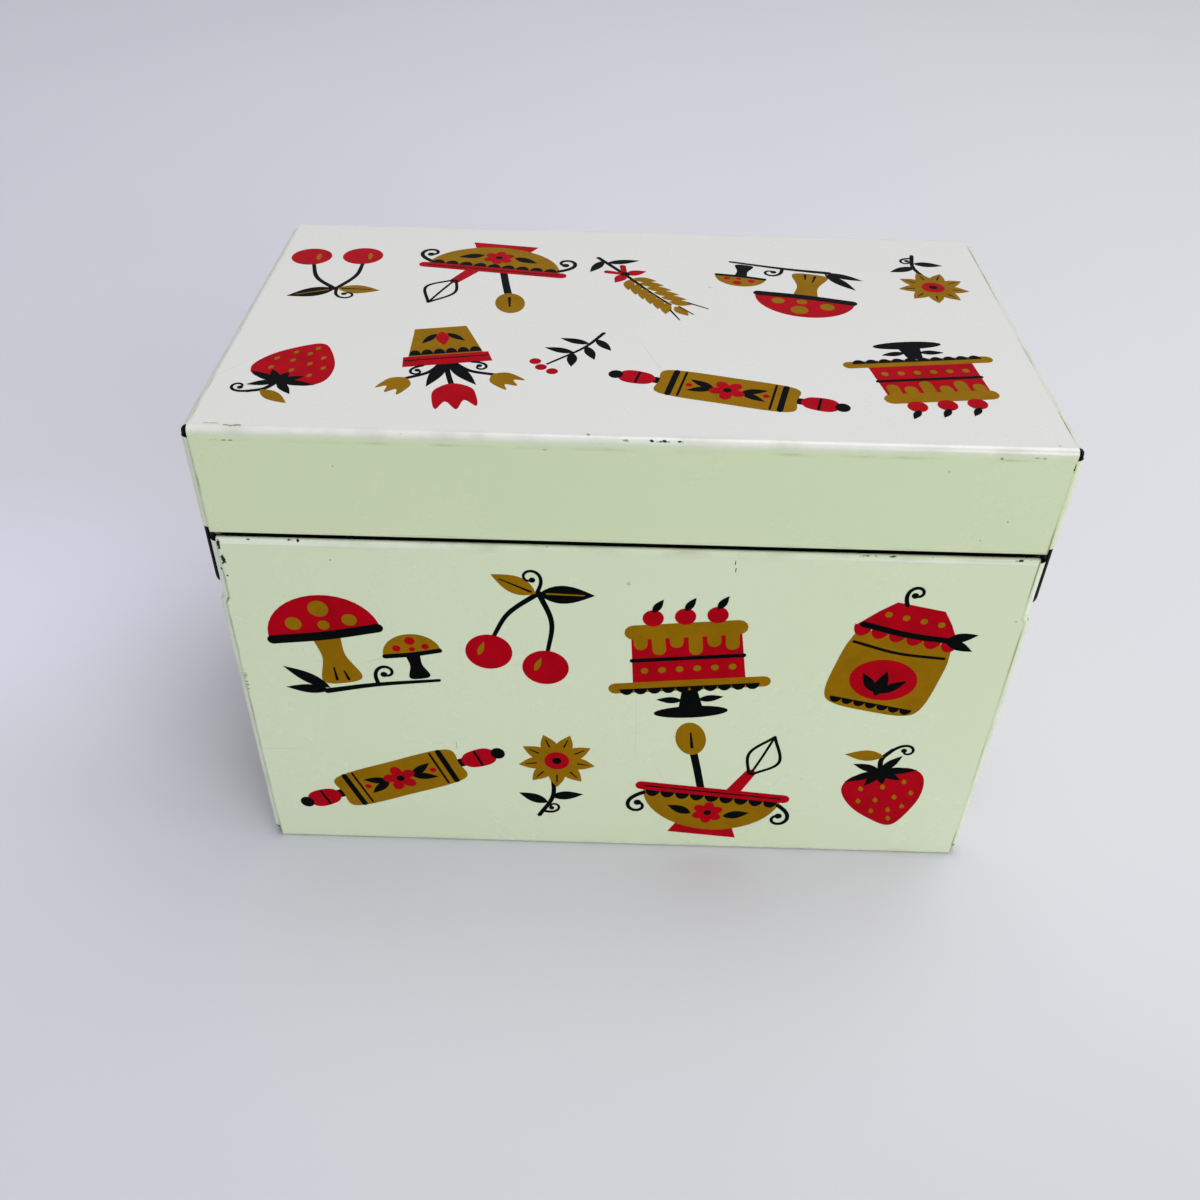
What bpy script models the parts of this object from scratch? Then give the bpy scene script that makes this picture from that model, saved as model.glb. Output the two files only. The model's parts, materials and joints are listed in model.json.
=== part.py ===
"""Recipe card box of printed tinplate, with a lid that swings on two rivets.

Width runs along X, the front faces -Y, the hinge side is at +Y and the floor is Z = 0.
Each sheet is drawn as its outer surface and gets its thickness on the inside.
"""

from math import cos, pi, radians, sin

import bmesh
import bpy
from mathutils import Vector

# Whole box, over the tinplate
BOX_WIDTH = 0.1350
BOX_DEPTH = 0.0786
BOX_HEIGHT = 0.0936

# Tinplate and the way that it is folded
SHEET = 0.00025
FOLD_RADIUS = 0.0010
FOLD_STEPS = 8
HEM_HEIGHT = 0.0020
HEM_GAP = 0.0005
HEM_STEPS = 12
HEM_MITRE = 0.0017

# End panels, whose flanges tuck under the wrapped sheets
CORNER_RADIUS = 0.0013
FLANGE_WIDTH = 0.0055
LAP_GAP = 0.00015
SEAM_GAP = 0.0001
RELIEF = 0.0003
FOOT_RELIEF = 0.0010
CORNER_NOTCH = 0.00095

# Lid and how it closes over the body
LID_BACK_SKIRT = 0.0193
LID_LAP = 0.0124
REAR_GAP = 0.0009
SIDE_CLEARANCE = 0.0004
FRONT_CLEARANCE = 0.0006
NECK_FOOT_DROP = 0.0008
SHOULDER_RISE = 0.0012
SHOULDER_STEPS = 6
EAR_ROUND = 0.0030
EAR_STEPS = 8

# Pivot rivets
PIVOT_INSET = 0.0060
PIVOT_RISE = 0.0060
RIVET_RADIUS = 0.0015
RIVET_STEPS = 32
HEAD_RADIUS = 0.0027
HEAD_HEIGHT = 0.0006
HEAD_LIP = 0.00015
HEAD_GAP = 0.00015
HEAD_STEPS = 5
CLINCH_RADIUS = 0.0022
CLINCH_HEIGHT = 0.0005
CLINCH_BORE = 0.0009
CLINCH_BORE_DEPTH = 0.0009
SEAT_GAP = 0.00010
RUNNING_GAP = 0.00010

# Shared by every cut and merge
OVERRUN = 0.0010
MERGE_DISTANCE = 0.00001

# Worked out from the sizes above
HEM_RADIUS = SHEET + HEM_GAP / 2
HEM_THICKNESS = 2 * HEM_RADIUS
LAP = SHEET + LAP_GAP
SIDE_STEP = SHEET + SIDE_CLEARANCE
FRONT_STEP = HEM_THICKNESS + FRONT_CLEARANCE
HALF_WIDTH = BOX_WIDTH / 2
HALF_DEPTH = BOX_DEPTH / 2
WALL_HALF = HALF_WIDTH - CORNER_RADIUS - SEAM_GAP
NECK_HALF = WALL_HALF - SIDE_STEP
LID_BACK_EDGE = BOX_HEIGHT - LID_BACK_SKIRT
LID_EDGE = LID_BACK_EDGE - LID_LAP
RIM = LID_BACK_EDGE - REAR_GAP
NECK_FOOT = LID_EDGE - NECK_FOOT_DROP
SHOULDER = NECK_FOOT - SHOULDER_RISE
PIVOT_Y = HALF_DEPTH - PIVOT_INSET
PIVOT_Z = NECK_FOOT + PIVOT_RISE

ENAMEL = (0.62, 0.69, 0.54, 1.0)
STEEL = (0.42, 0.41, 0.39, 1.0)


def clear_scene():
    for thing in list(bpy.context.scene.objects):
        bpy.data.objects.remove(thing, do_unlink=True)


def new_collection(name):
    collection = bpy.data.collections.new(name)
    bpy.context.scene.collection.children.link(collection)
    return collection


def new_material(name, colour, metallic, roughness, coat):
    material = bpy.data.materials.new(name)
    material.use_nodes = True
    shader = material.node_tree.nodes["Principled BSDF"]
    shader.inputs["Base Color"].default_value = colour
    shader.inputs["Metallic"].default_value = metallic
    shader.inputs["Roughness"].default_value = roughness
    shader.inputs["Coat Weight"].default_value = coat
    return material


def chain(bm, points):
    """Join points into a line of edges."""
    verts = [bm.verts.new(point) for point in points]
    return [bm.edges.new(pair) for pair in zip(verts, verts[1:])]


def pull(bm, edges, move):
    """Extrude a line of edges, put each new vertex where move says, and give the new line."""
    made = bmesh.ops.extrude_edge_only(bm, edges=edges)["geom"]
    verts = {item for item in made if isinstance(item, bmesh.types.BMVert)}
    for vert in verts:
        vert.co = move(vert.co)
    lines = [item for item in made if isinstance(item, bmesh.types.BMEdge)]
    return [line for line in lines if verts.issuperset(line.verts)]


def fold(bm, edges, centre, axis, angle, steps):
    """Turn a line of edges about an axis, as a press brake does, and give the new line."""
    verts = list({vert for edge in edges for vert in edge.verts})
    made = bmesh.ops.spin(
        bm, geom=verts + list(edges), cent=centre, axis=axis, angle=angle, steps=steps
    )["geom_last"]
    return [item for item in made if isinstance(item, bmesh.types.BMEdge)]


def s_curve_shares(steps):
    """Even steps along a smooth joggle: pairs of the share of its length and of its offset."""
    marks = [step / steps for step in range(1, steps + 1)]
    return [(mark, (1 - cos(pi * mark)) / 2) for mark in marks]


def edges_between(bm, keep):
    """The open edges whose two ends both pass the test."""
    return [edge for edge in bm.edges if edge.is_boundary and all(keep(vert.co) for vert in edge.verts)]


def turn_outwards(bm, outward):
    """Give every face of an open sheet one side, the side of its largest face being outward."""
    bmesh.ops.recalc_face_normals(bm, faces=bm.faces[:])
    largest = max(bm.faces, key=lambda face: face.calc_area())
    if largest.normal.dot(outward) < 0:
        bmesh.ops.reverse_faces(bm, faces=bm.faces[:])


class Strip:
    """The +X half of a sheet that is folded across the box, from its first edge to its last."""

    def __init__(self, y, z, heading, half_width):
        self.bm = bmesh.new()
        self.y = y
        self.z = z
        self.heading = heading
        self.front = chain(self.bm, [(0, y, z), (half_width, y, z)])

    def go(self, y, z, half_width):
        """Run flat to a place, with the sheet's end at half_width there."""
        def move(co):
            return Vector((half_width if co.x > 0 else 0, y, z))

        self.front = pull(self.bm, self.front, move)
        self.y = y
        self.z = z

    def turn(self, degrees, radius, steps):
        """Fold round a centre on the left of the heading, or on its right where degrees is negative."""
        side = 1 if degrees > 0 else -1
        start = radians(self.heading)
        end = radians(self.heading + degrees)
        centre_y = self.y - side * radius * sin(start)
        centre_z = self.z + side * radius * cos(start)
        self.front = fold(
            self.bm, self.front, (0, centre_y, centre_z), (1, 0, 0), radians(degrees), steps
        )
        self.y = centre_y + side * radius * sin(end)
        self.z = centre_z - side * radius * cos(end)
        self.heading += degrees


def place(name, bm, origin, parent, material, collection):
    """Make a mesh drawn in box coordinates an object whose origin is at a given place."""
    bmesh.ops.translate(bm, verts=bm.verts[:], vec=-Vector(origin))
    mesh = bpy.data.meshes.new(name)
    bm.to_mesh(mesh)
    bm.free()
    mesh.shade_smooth()
    mesh.set_sharp_from_angle(angle=radians(35))
    mesh.materials.append(material)
    piece = bpy.data.objects.new(name, mesh)
    collection.objects.link(piece)
    piece.parent = parent
    piece.location = Vector(origin) - (parent.location if parent else Vector((0, 0, 0)))
    return piece


def give_thickness(piece):
    solidify = piece.modifiers.new("sheet thickness", "SOLIDIFY")
    solidify.thickness = SHEET
    solidify.offset = -1
    solidify.use_even_offset = True
    solidify.use_quality_normals = True


def mirror_half(piece):
    mirror = piece.modifiers.new("other half", "MIRROR")
    mirror.use_axis = (True, False, False)
    mirror.use_clip = True
    mirror.merge_threshold = MERGE_DISTANCE


def drill(piece, cutter):
    hole = piece.modifiers.new("pivot hole", "BOOLEAN")
    hole.operation = "DIFFERENCE"
    hole.solver = "EXACT"
    hole.object = cutter


def body_wrapper(material, collection):
    """Front wall, floor and back wall in one strip, with a hemmed rim and a neck at the front."""
    neck_y = FRONT_STEP - HALF_DEPTH
    strip = Strip(neck_y + HEM_THICKNESS, RIM - HEM_HEIGHT, 90, NECK_HALF - HEM_MITRE)
    strip.go(strip.y, RIM - HEM_RADIUS, NECK_HALF)
    strip.turn(180, HEM_RADIUS, HEM_STEPS)
    strip.go(neck_y, NECK_FOOT, NECK_HALF)
    for down_share, out_share in s_curve_shares(SHOULDER_STEPS):
        strip.go(
            neck_y - FRONT_STEP * out_share,
            NECK_FOOT - SHOULDER_RISE * down_share,
            NECK_HALF + SIDE_STEP * out_share,
        )
    strip.go(-HALF_DEPTH, FOLD_RADIUS, WALL_HALF)
    strip.turn(90, FOLD_RADIUS, FOLD_STEPS)
    strip.go(HALF_DEPTH - FOLD_RADIUS, 0, WALL_HALF)
    strip.turn(90, FOLD_RADIUS, FOLD_STEPS)
    strip.go(HALF_DEPTH, SHOULDER, WALL_HALF)
    strip.go(HALF_DEPTH, NECK_FOOT, NECK_HALF)
    strip.go(HALF_DEPTH, RIM - HEM_RADIUS, NECK_HALF)
    strip.turn(180, HEM_RADIUS, HEM_STEPS)
    strip.go(strip.y, RIM - HEM_HEIGHT, NECK_HALF - HEM_MITRE)
    turn_outwards(strip.bm, Vector((0, -1, 0)))
    piece = place("body_wrapper", strip.bm, (0, 0, 0), None, material, collection)
    mirror_half(piece)
    give_thickness(piece)


def lid_wrapper(pivot, material, collection):
    """Front skirt, top and back skirt in one strip, with both lower edges hemmed."""
    strip = Strip(HEM_THICKNESS - HALF_DEPTH, LID_EDGE + HEM_HEIGHT, -90, WALL_HALF - HEM_MITRE)
    strip.go(strip.y, LID_EDGE + HEM_RADIUS, WALL_HALF)
    strip.turn(-180, HEM_RADIUS, HEM_STEPS)
    strip.go(-HALF_DEPTH, BOX_HEIGHT - FOLD_RADIUS, WALL_HALF)
    strip.turn(-90, FOLD_RADIUS, FOLD_STEPS)
    strip.go(HALF_DEPTH - FOLD_RADIUS, BOX_HEIGHT, WALL_HALF)
    strip.turn(-90, FOLD_RADIUS, FOLD_STEPS)
    strip.go(HALF_DEPTH, LID_BACK_EDGE + HEM_RADIUS, WALL_HALF)
    strip.turn(-180, HEM_RADIUS, HEM_STEPS)
    strip.go(strip.y, LID_BACK_EDGE + HEM_HEIGHT, WALL_HALF - HEM_MITRE)
    turn_outwards(strip.bm, Vector((0, 0, 1)))
    piece = place("lid_wrapper", strip.bm, (0, PIVOT_Y, PIVOT_Z), pivot, material, collection)
    mirror_half(piece)
    give_thickness(piece)


def end_plan(z):
    """An end panel's outline from above, from its front corner bend to its back one, at one height."""
    centre_x = HALF_WIDTH - CORNER_RADIUS
    centre_y = HALF_DEPTH - LAP - CORNER_RADIUS
    turns = [pi / 2 * step / FOLD_STEPS for step in range(FOLD_STEPS + 1)]
    back = [
        (centre_x + CORNER_RADIUS * cos(turn), centre_y + CORNER_RADIUS * sin(turn), z) for turn in turns
    ]
    front = [(x, -y, z) for x, y, z in reversed(back)]
    return front + back


def shifted(offset):
    """A move that shifts every vertex by the same offset."""
    return lambda co: co + Vector(offset)


def raised(z):
    """A move that puts every vertex at one height."""
    return lambda co: Vector((co.x, co.y, z))


def add_flange(bm, low, high, y_side):
    """Pull a flange from the free edge of a corner bend, between two heights."""
    seam_limit = HALF_WIDTH - CORNER_RADIUS + MERGE_DISTANCE

    def on_free_edge(co):
        inside = low - MERGE_DISTANCE < co.z < high + MERGE_DISTANCE
        return inside and co.x < seam_limit and co.y * y_side > PIVOT_Y

    upright = [
        edge for edge in edges_between(bm, on_free_edge)
        if abs(edge.verts[0].co.z - edge.verts[1].co.z) > MERGE_DISTANCE
    ]
    pull(bm, upright, shifted((-FLANGE_WIDTH, 0, 0)))


def body_end_sheet():
    """The right end of the body: flush below, stepped in at the neck, hemmed at the rim."""
    floor_bend_top = LAP + CORNER_RADIUS
    bends_start = floor_bend_top + FOOT_RELIEF
    flange_top = RIM - HEM_HEIGHT - RELIEF
    bends_top = RIM - CORNER_NOTCH
    bm = bmesh.new()
    first = chain(bm, end_plan(bends_start))
    panel = first[FOLD_STEPS]

    def neck_move(share_step, height):
        def move(co):
            inward_y = FRONT_STEP * share_step if co.y < 0 else 0
            return Vector((co.x - SIDE_STEP * share_step, co.y + inward_y, height))
        return move

    row = pull(bm, first, raised(SHOULDER - RELIEF))
    row = pull(bm, row, raised(SHOULDER))
    last_share = 0
    for up_share, in_share in s_curve_shares(SHOULDER_STEPS):
        height = SHOULDER + SHOULDER_RISE * up_share
        row = pull(bm, row, neck_move(in_share - last_share, height))
        last_share = in_share
    row = pull(bm, row, raised(NECK_FOOT + RELIEF))
    row = pull(bm, row, raised(flange_top))
    row = pull(bm, row, raised(bends_top))

    rim_edge = [max(row, key=lambda edge: edge.calc_length())]
    rim_edge = pull(bm, rim_edge, raised(RIM - HEM_RADIUS))
    neck_x = HALF_WIDTH - SIDE_STEP
    hem_centre = (neck_x - HEM_RADIUS, 0, RIM - HEM_RADIUS)
    rim_edge = fold(bm, rim_edge, hem_centre, (0, -1, 0), pi, HEM_STEPS)

    def mitred(co):
        return Vector((co.x, co.y - HEM_MITRE if co.y > 0 else co.y + HEM_MITRE, RIM - HEM_HEIGHT))

    pull(bm, rim_edge, mitred)

    floor_edge = pull(bm, [panel], raised(floor_bend_top))
    floor_centre = (HALF_WIDTH - CORNER_RADIUS, 0, floor_bend_top)
    floor_edge = fold(bm, floor_edge, floor_centre, (0, 1, 0), pi / 2, FOLD_STEPS)
    pull(bm, floor_edge, shifted((-FLANGE_WIDTH, 0, 0)))

    add_flange(bm, bends_start, flange_top, 1)
    add_flange(bm, bends_start, SHOULDER - RELIEF, -1)
    add_flange(bm, NECK_FOOT + RELIEF, flange_top, -1)
    return bm


def lid_end_sheet():
    """The right end of the lid: a skirt as deep as the front one, with a round pivot ear behind."""
    top_bend_foot = BOX_HEIGHT - LAP - CORNER_RADIUS
    bends_top = top_bend_foot - RELIEF
    back_bend_foot = LID_BACK_EDGE + CORNER_NOTCH
    front_bend_foot = LID_EDGE + CORNER_NOTCH
    bm = bmesh.new()
    first = chain(bm, end_plan(back_bend_foot))
    back_flange_foot = LID_BACK_EDGE + HEM_HEIGHT + RELIEF
    row = pull(bm, first, raised(back_flange_foot))
    row = pull(bm, row, raised(bends_top))
    top_edge = [max(row, key=lambda edge: edge.calc_length())]
    top_edge = pull(bm, top_edge, raised(top_bend_foot))
    top_centre = (HALF_WIDTH - CORNER_RADIUS, 0, top_bend_foot)
    top_edge = fold(bm, top_edge, top_centre, (0, -1, 0), pi / 2, FOLD_STEPS)
    pull(bm, top_edge, shifted((-FLANGE_WIDTH, 0, 0)))

    front_part = first[: FOLD_STEPS + 1]
    front_flange_foot = LID_EDGE + HEM_HEIGHT + RELIEF
    row = pull(bm, front_part, raised(front_flange_foot))
    row = pull(bm, row, raised(front_bend_foot))
    skirt_edge = [max(row, key=lambda edge: edge.calc_length())]
    skirt_edge = pull(bm, skirt_edge, raised(LID_EDGE))
    ear_corner = max(skirt_edge[0].verts, key=lambda vert: vert.co.y)
    ear_height = back_bend_foot - LID_EDGE
    round_ear(bm, ear_corner, ear_height)

    add_flange(bm, back_flange_foot, bends_top, 1)
    add_flange(bm, front_flange_foot, bends_top, -1)
    return bm


def round_ear(bm, corner, height):
    """Round the ear's free lower corner, once the levels behind it are one straight edge."""
    levels = [
        vert for vert in bm.verts
        if abs(vert.co.y - corner.co.y) < MERGE_DISTANCE
        and abs(vert.co.x - corner.co.x) < MERGE_DISTANCE
        and corner.co.z + MERGE_DISTANCE < vert.co.z < corner.co.z + height - MERGE_DISTANCE
    ]
    rows = [
        edge for edge in bm.edges
        if edge.calc_length() > CORNER_RADIUS and any(vert in levels for vert in edge.verts)
        and abs(edge.verts[0].co.z - edge.verts[1].co.z) < MERGE_DISTANCE
    ]
    bmesh.ops.dissolve_edges(bm, edges=rows, use_verts=True)
    bmesh.ops.bevel(
        bm, geom=[corner], offset=EAR_ROUND, segments=EAR_STEPS, profile=0.5,
        affect="VERTICES", material=-1,
    )


def add_end(name, bm, side, origin, parent, hole, material, collection):
    """Put an end panel on its side of the box, with its thickness and its pivot hole."""
    if side < 0:
        bmesh.ops.scale(bm, vec=(-1, 1, 1), verts=bm.verts[:])
    turn_outwards(bm, Vector((side, 0, 0)))
    piece = place(name, bm, origin, parent, material, collection)
    give_thickness(piece)
    drill(piece, hole)


def pivot_cutter(name, side, radius, collection):
    """A cylinder along the hinge axis, longer than the walls that it goes through."""
    length = 2 * (SIDE_STEP + SHEET + OVERRUN)
    bpy.ops.mesh.primitive_cylinder_add(
        vertices=RIVET_STEPS, radius=radius, depth=length,
        location=(side * HALF_WIDTH, PIVOT_Y, PIVOT_Z), rotation=(0, pi / 2, 0),
    )
    cutter = bpy.context.object
    cutter.name = name
    for owner in list(cutter.users_collection):
        owner.objects.unlink(cutter)
    collection.objects.link(cutter)
    cutter.hide_render = True
    cutter.display_type = "WIRE"
    return cutter


def rivet_profile():
    """Half of the rivet's section, from the crown of its head down to the bore of its clinched end."""
    head_base = HEAD_GAP
    neck_inside = -(SIDE_STEP + SHEET)
    clinch_top = neck_inside - SEAT_GAP
    clinch_end = clinch_top - CLINCH_HEIGHT
    rise = HEAD_HEIGHT - HEAD_LIP
    turns = [pi / 2 * step / HEAD_STEPS for step in range(HEAD_STEPS + 1)]
    crown = [(HEAD_RADIUS * sin(turn), head_base + HEAD_LIP + rise * cos(turn)) for turn in turns]
    crown[0] = (0, head_base + HEAD_HEIGHT)
    return crown + [
        (HEAD_RADIUS, head_base),
        (RIVET_RADIUS, head_base),
        (RIVET_RADIUS, clinch_top),
        (CLINCH_RADIUS, clinch_top),
        (CLINCH_RADIUS, clinch_end + CLINCH_HEIGHT / 2),
        (RIVET_RADIUS, clinch_end),
        (CLINCH_BORE, clinch_end),
        (CLINCH_BORE, clinch_end + CLINCH_BORE_DEPTH),
        (0, clinch_end + CLINCH_BORE_DEPTH),
    ]


def pivot_rivet(name, side, material, collection):
    """A small rivet with a domed head outside the lid's ear and a clinched end inside the neck."""
    bm = bmesh.new()
    chain(bm, [(x, 0, z) for x, z in rivet_profile()])
    origin = Vector((side * HALF_WIDTH, PIVOT_Y, PIVOT_Z))
    piece = place(name, bm, (0, 0, 0), None, material, collection)
    piece.location = origin
    piece.rotation_euler = (0, side * pi / 2, 0)
    screw = piece.modifiers.new("turned", "SCREW")
    screw.axis = "Z"
    screw.steps = RIVET_STEPS
    screw.render_steps = RIVET_STEPS
    screw.use_merge_vertices = True
    screw.merge_threshold = MERGE_DISTANCE
    screw.use_smooth_shade = False


def main():
    clear_scene()
    parts = new_collection("recipe_card_box")
    cutters = new_collection("cutters")
    enamel = new_material("pale green enamel", ENAMEL, 0.0, 0.25, 0.6)
    steel = new_material("bare steel", STEEL, 1.0, 0.40, 0.0)

    pivot = bpy.data.objects.new("lid_pivot", None)
    pivot.location = (0, PIVOT_Y, PIVOT_Z)
    pivot.empty_display_size = PIVOT_INSET
    parts.objects.link(pivot)

    body_wrapper(enamel, parts)
    lid_wrapper(pivot, enamel, parts)
    for word, side in (("left", -1), ("right", 1)):
        seat = pivot_cutter(f"cut_body_{word}", side, RIVET_RADIUS + SEAT_GAP, cutters)
        bearing = pivot_cutter(f"cut_lid_{word}", side, RIVET_RADIUS + RUNNING_GAP, cutters)
        body_origin = (side * HALF_WIDTH, 0, 0)
        lid_origin = (side * HALF_WIDTH, PIVOT_Y, PIVOT_Z)
        add_end(f"body_end_{word}", body_end_sheet(), side, body_origin, None, seat, enamel, parts)
        add_end(f"lid_end_{word}", lid_end_sheet(), side, lid_origin, pivot, bearing, enamel, parts)
        pivot_rivet(f"pivot_rivet_{word}", side, steel, parts)


main()
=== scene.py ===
"""Looks of a recipe card box: printed and enamelled tinplate, worn at its edges, on a plain stage."""

import json
from functools import wraps
from math import atan2, cos, pi, radians, sin

import bmesh
import bpy
from bpy.props import FloatProperty, FloatVectorProperty, IntProperty, PointerProperty
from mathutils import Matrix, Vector


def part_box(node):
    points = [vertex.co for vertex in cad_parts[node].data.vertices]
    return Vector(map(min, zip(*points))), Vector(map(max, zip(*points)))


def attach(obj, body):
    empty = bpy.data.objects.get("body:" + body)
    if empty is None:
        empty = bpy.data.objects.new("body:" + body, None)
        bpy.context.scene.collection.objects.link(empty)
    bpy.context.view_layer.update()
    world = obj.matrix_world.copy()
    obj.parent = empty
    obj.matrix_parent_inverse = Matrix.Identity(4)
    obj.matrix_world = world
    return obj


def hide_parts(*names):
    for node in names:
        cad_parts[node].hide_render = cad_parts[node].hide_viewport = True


bl_info = {
    "name": "Recipe Card Box",
    "version": (1, 0, 0),
    "blender": (4, 5, 0),
    "location": "View3D > Sidebar > Recipe Box",
    "description": "Folded tinplate sheets, printed ornament and wear of a recipe card box",
    "category": "Object",
}

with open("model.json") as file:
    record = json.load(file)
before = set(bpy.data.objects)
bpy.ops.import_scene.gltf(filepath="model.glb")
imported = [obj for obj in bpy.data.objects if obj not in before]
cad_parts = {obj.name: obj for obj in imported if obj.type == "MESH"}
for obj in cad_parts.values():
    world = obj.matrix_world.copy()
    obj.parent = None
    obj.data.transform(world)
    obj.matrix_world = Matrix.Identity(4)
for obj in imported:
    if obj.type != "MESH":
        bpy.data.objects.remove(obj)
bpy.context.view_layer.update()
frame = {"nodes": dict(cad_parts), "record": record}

MM = 0.001
BODY = "body"
LID = "lid"


def frame_sizes():
    """The box's main sizes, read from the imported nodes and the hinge."""
    wall_low, wall_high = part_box("body_wrapper")
    end_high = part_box("body_end_right")[1]
    lid_low, lid_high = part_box("lid_wrapper")
    hinge = frame["record"]["behaviour"]["joints"][0]["pos_m"]
    return {
        "half_width": end_high.x,
        "half_depth": wall_high.y,
        "wall_half": wall_high.x,
        "lap": wall_high.y - end_high.y,
        "floor": wall_low.z,
        "rim": wall_high.z,
        "lid_edge": lid_low.z,
        "top": lid_high.z,
        "pivot_y": hinge[1],
        "pivot_z": hinge[2],
    }


BOX = frame_sizes()


class RecipeBoxSheets(bpy.types.PropertyGroup):
    """Sizes of the folded tinplate."""

    sheet: FloatProperty(
        name="Sheet", description="Thickness of the tinplate", default=0.00025,
        min=0.0001, unit="LENGTH", precision=5,
    )
    fold_radius: FloatProperty(
        name="Fold radius", description="Outer radius of the long folds", default=0.0010, unit="LENGTH",
    )
    fold_steps: IntProperty(name="Fold steps", description="Faces round a quarter fold", default=10, min=3)
    hem_height: FloatProperty(
        name="Hem height", description="Height of the hemmed edges", default=0.0020, unit="LENGTH",
    )
    hem_gap: FloatProperty(
        name="Hem gap", description="Space inside a hem", default=0.0005, unit="LENGTH", precision=5,
    )
    hem_steps: IntProperty(name="Hem steps", description="Faces round a hem", default=12, min=4)
    hem_mitre: FloatProperty(
        name="Hem mitre", description="How far a hem's end is cut back", default=0.0017, unit="LENGTH",
    )
    flange_width: FloatProperty(
        name="Flange", description="Width of the tucked flanges", default=0.0055, unit="LENGTH",
    )
    seam_gap: FloatProperty(
        name="Seam gap", description="Gap between a bend and the sheet over it", default=0.0001,
        unit="LENGTH", precision=5,
    )
    relief: FloatProperty(
        name="Relief", description="Cut between neighbouring bends", default=0.0003, unit="LENGTH",
    )
    foot_relief: FloatProperty(
        name="Foot relief", description="Cut above the floor bend at the bottom corners",
        default=0.0010, unit="LENGTH",
    )
    corner_notch: FloatProperty(
        name="Corner notch", description="Notch beside the rims", default=0.00095, unit="LENGTH",
    )
    rear_gap: FloatProperty(
        name="Rear gap", description="Gap between back skirt and rim", default=0.0009, unit="LENGTH",
    )
    side_step: FloatProperty(
        name="Side step", description="How far the neck steps in at the ends", default=0.00065,
        unit="LENGTH", precision=5,
    )
    front_step: FloatProperty(
        name="Front step", description="How far the neck steps in at the front", default=0.0016,
        unit="LENGTH",
    )
    foot_drop: FloatProperty(
        name="Foot drop", description="Room between the lid's edge and the neck's foot",
        default=0.0008, unit="LENGTH",
    )
    shoulder_rise: FloatProperty(
        name="Shoulder", description="Height of the step below the neck", default=0.0012, unit="LENGTH",
    )
    shoulder_steps: IntProperty(name="Shoulder steps", description="Faces up the step", default=8, min=3)
    ear_round: FloatProperty(
        name="Ear round", description="Radius of the pivot ear's corner", default=0.0030, unit="LENGTH",
    )
    ear_hole: FloatProperty(
        name="Ear hole", description="Radius of the hole in the lid's ear", default=0.0016, unit="LENGTH",
    )
    neck_hole: FloatProperty(
        name="Neck hole", description="Radius of the hole in the neck", default=0.0016, unit="LENGTH",
    )


class RecipeBoxColours(bpy.types.PropertyGroup):
    """Colours of the enamel, the inks and the bare metal."""

    white: FloatVectorProperty(
        name="White enamel", description="Enamel on the lid's top", subtype="COLOR", size=4,
        default=(0.690, 0.690, 0.655, 1.0), min=0.0, max=1.0,
    )
    body_green: FloatVectorProperty(
        name="Body enamel", description="Pale green enamel on the body", subtype="COLOR", size=4,
        default=(0.600, 0.675, 0.468, 1.0), min=0.0, max=1.0,
    )
    lid_green: FloatVectorProperty(
        name="Skirt enamel", description="Pale green enamel on the lid's skirts", subtype="COLOR",
        size=4, default=(0.568, 0.660, 0.420, 1.0), min=0.0, max=1.0,
    )
    ochre: FloatVectorProperty(
        name="Ochre ink", description="Main ink of the ornament", subtype="COLOR", size=4,
        default=(0.255, 0.128, 0.0010, 1.0), min=0.0, max=1.0,
    )
    red: FloatVectorProperty(
        name="Red ink", description="Second ink of the ornament", subtype="COLOR", size=4,
        default=(0.37, 0.0004, 0.0070, 1.0), min=0.0, max=1.0,
    )
    black: FloatVectorProperty(
        name="Black ink", description="Line ink of the ornament", subtype="COLOR", size=4,
        default=(0.0012, 0.0020, 0.0022, 1.0), min=0.0, max=1.0,
    )
    # This olive colour also paints the shade just under the body's rim and the darker lines on the lid's
    # back skirt
    grime_and_shade: FloatVectorProperty(
        name="Grime", description="Old dirt along folds and seams", subtype="COLOR", size=4,
        default=(0.175, 0.175, 0.070, 1.0), min=0.0, max=1.0,
    )
    # Bare steel also paints the dark inside of the lid's ears, partly as painted shade of the gap there
    bare: FloatVectorProperty(
        name="Bare steel", description="Steel where the enamel has chipped", subtype="COLOR", size=4,
        default=(0.010, 0.011, 0.011, 1.0), min=0.0, max=1.0,
    )
    # Painted highlight colour: the pale band along the body's rim, the pale end bends and the pale streaks
    # on the neck
    pale_highlight: FloatVectorProperty(
        name="Pale lip", description="Enamel rubbed pale along the body's rim", subtype="COLOR",
        size=4, default=(0.74, 0.79, 0.68, 1.0), min=0.0, max=1.0,
    )
    tin: FloatVectorProperty(
        name="Tinplate", description="Plain inside of the sheets", subtype="COLOR", size=4,
        default=(0.60, 0.585, 0.53, 1.0), min=0.0, max=1.0,
    )
    rivet: FloatVectorProperty(
        name="Rivet", description="Dulled steel of the rivets", subtype="COLOR", size=4,
        default=(0.40, 0.39, 0.37, 1.0), min=0.0, max=1.0,
    )


class RecipeBoxPrint(bpy.types.PropertyGroup):
    """Sizes of the printed ornament."""

    ink: FloatProperty(
        name="Ink", description="Height of the first ink over the enamel", default=0.000012,
        unit="LENGTH", precision=6,
    )
    layer: FloatProperty(
        name="Layer", description="Height of each later ink shape", default=0.000002,
        unit="LENGTH", precision=6,
    )
    sunk: FloatProperty(
        name="Sunk", description="How deep the ink sits in the enamel", default=0.00001,
        unit="LENGTH", precision=6,
    )
    motif_scale: FloatProperty(name="Motif scale", description="Size of every motif", default=1.0)


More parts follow.
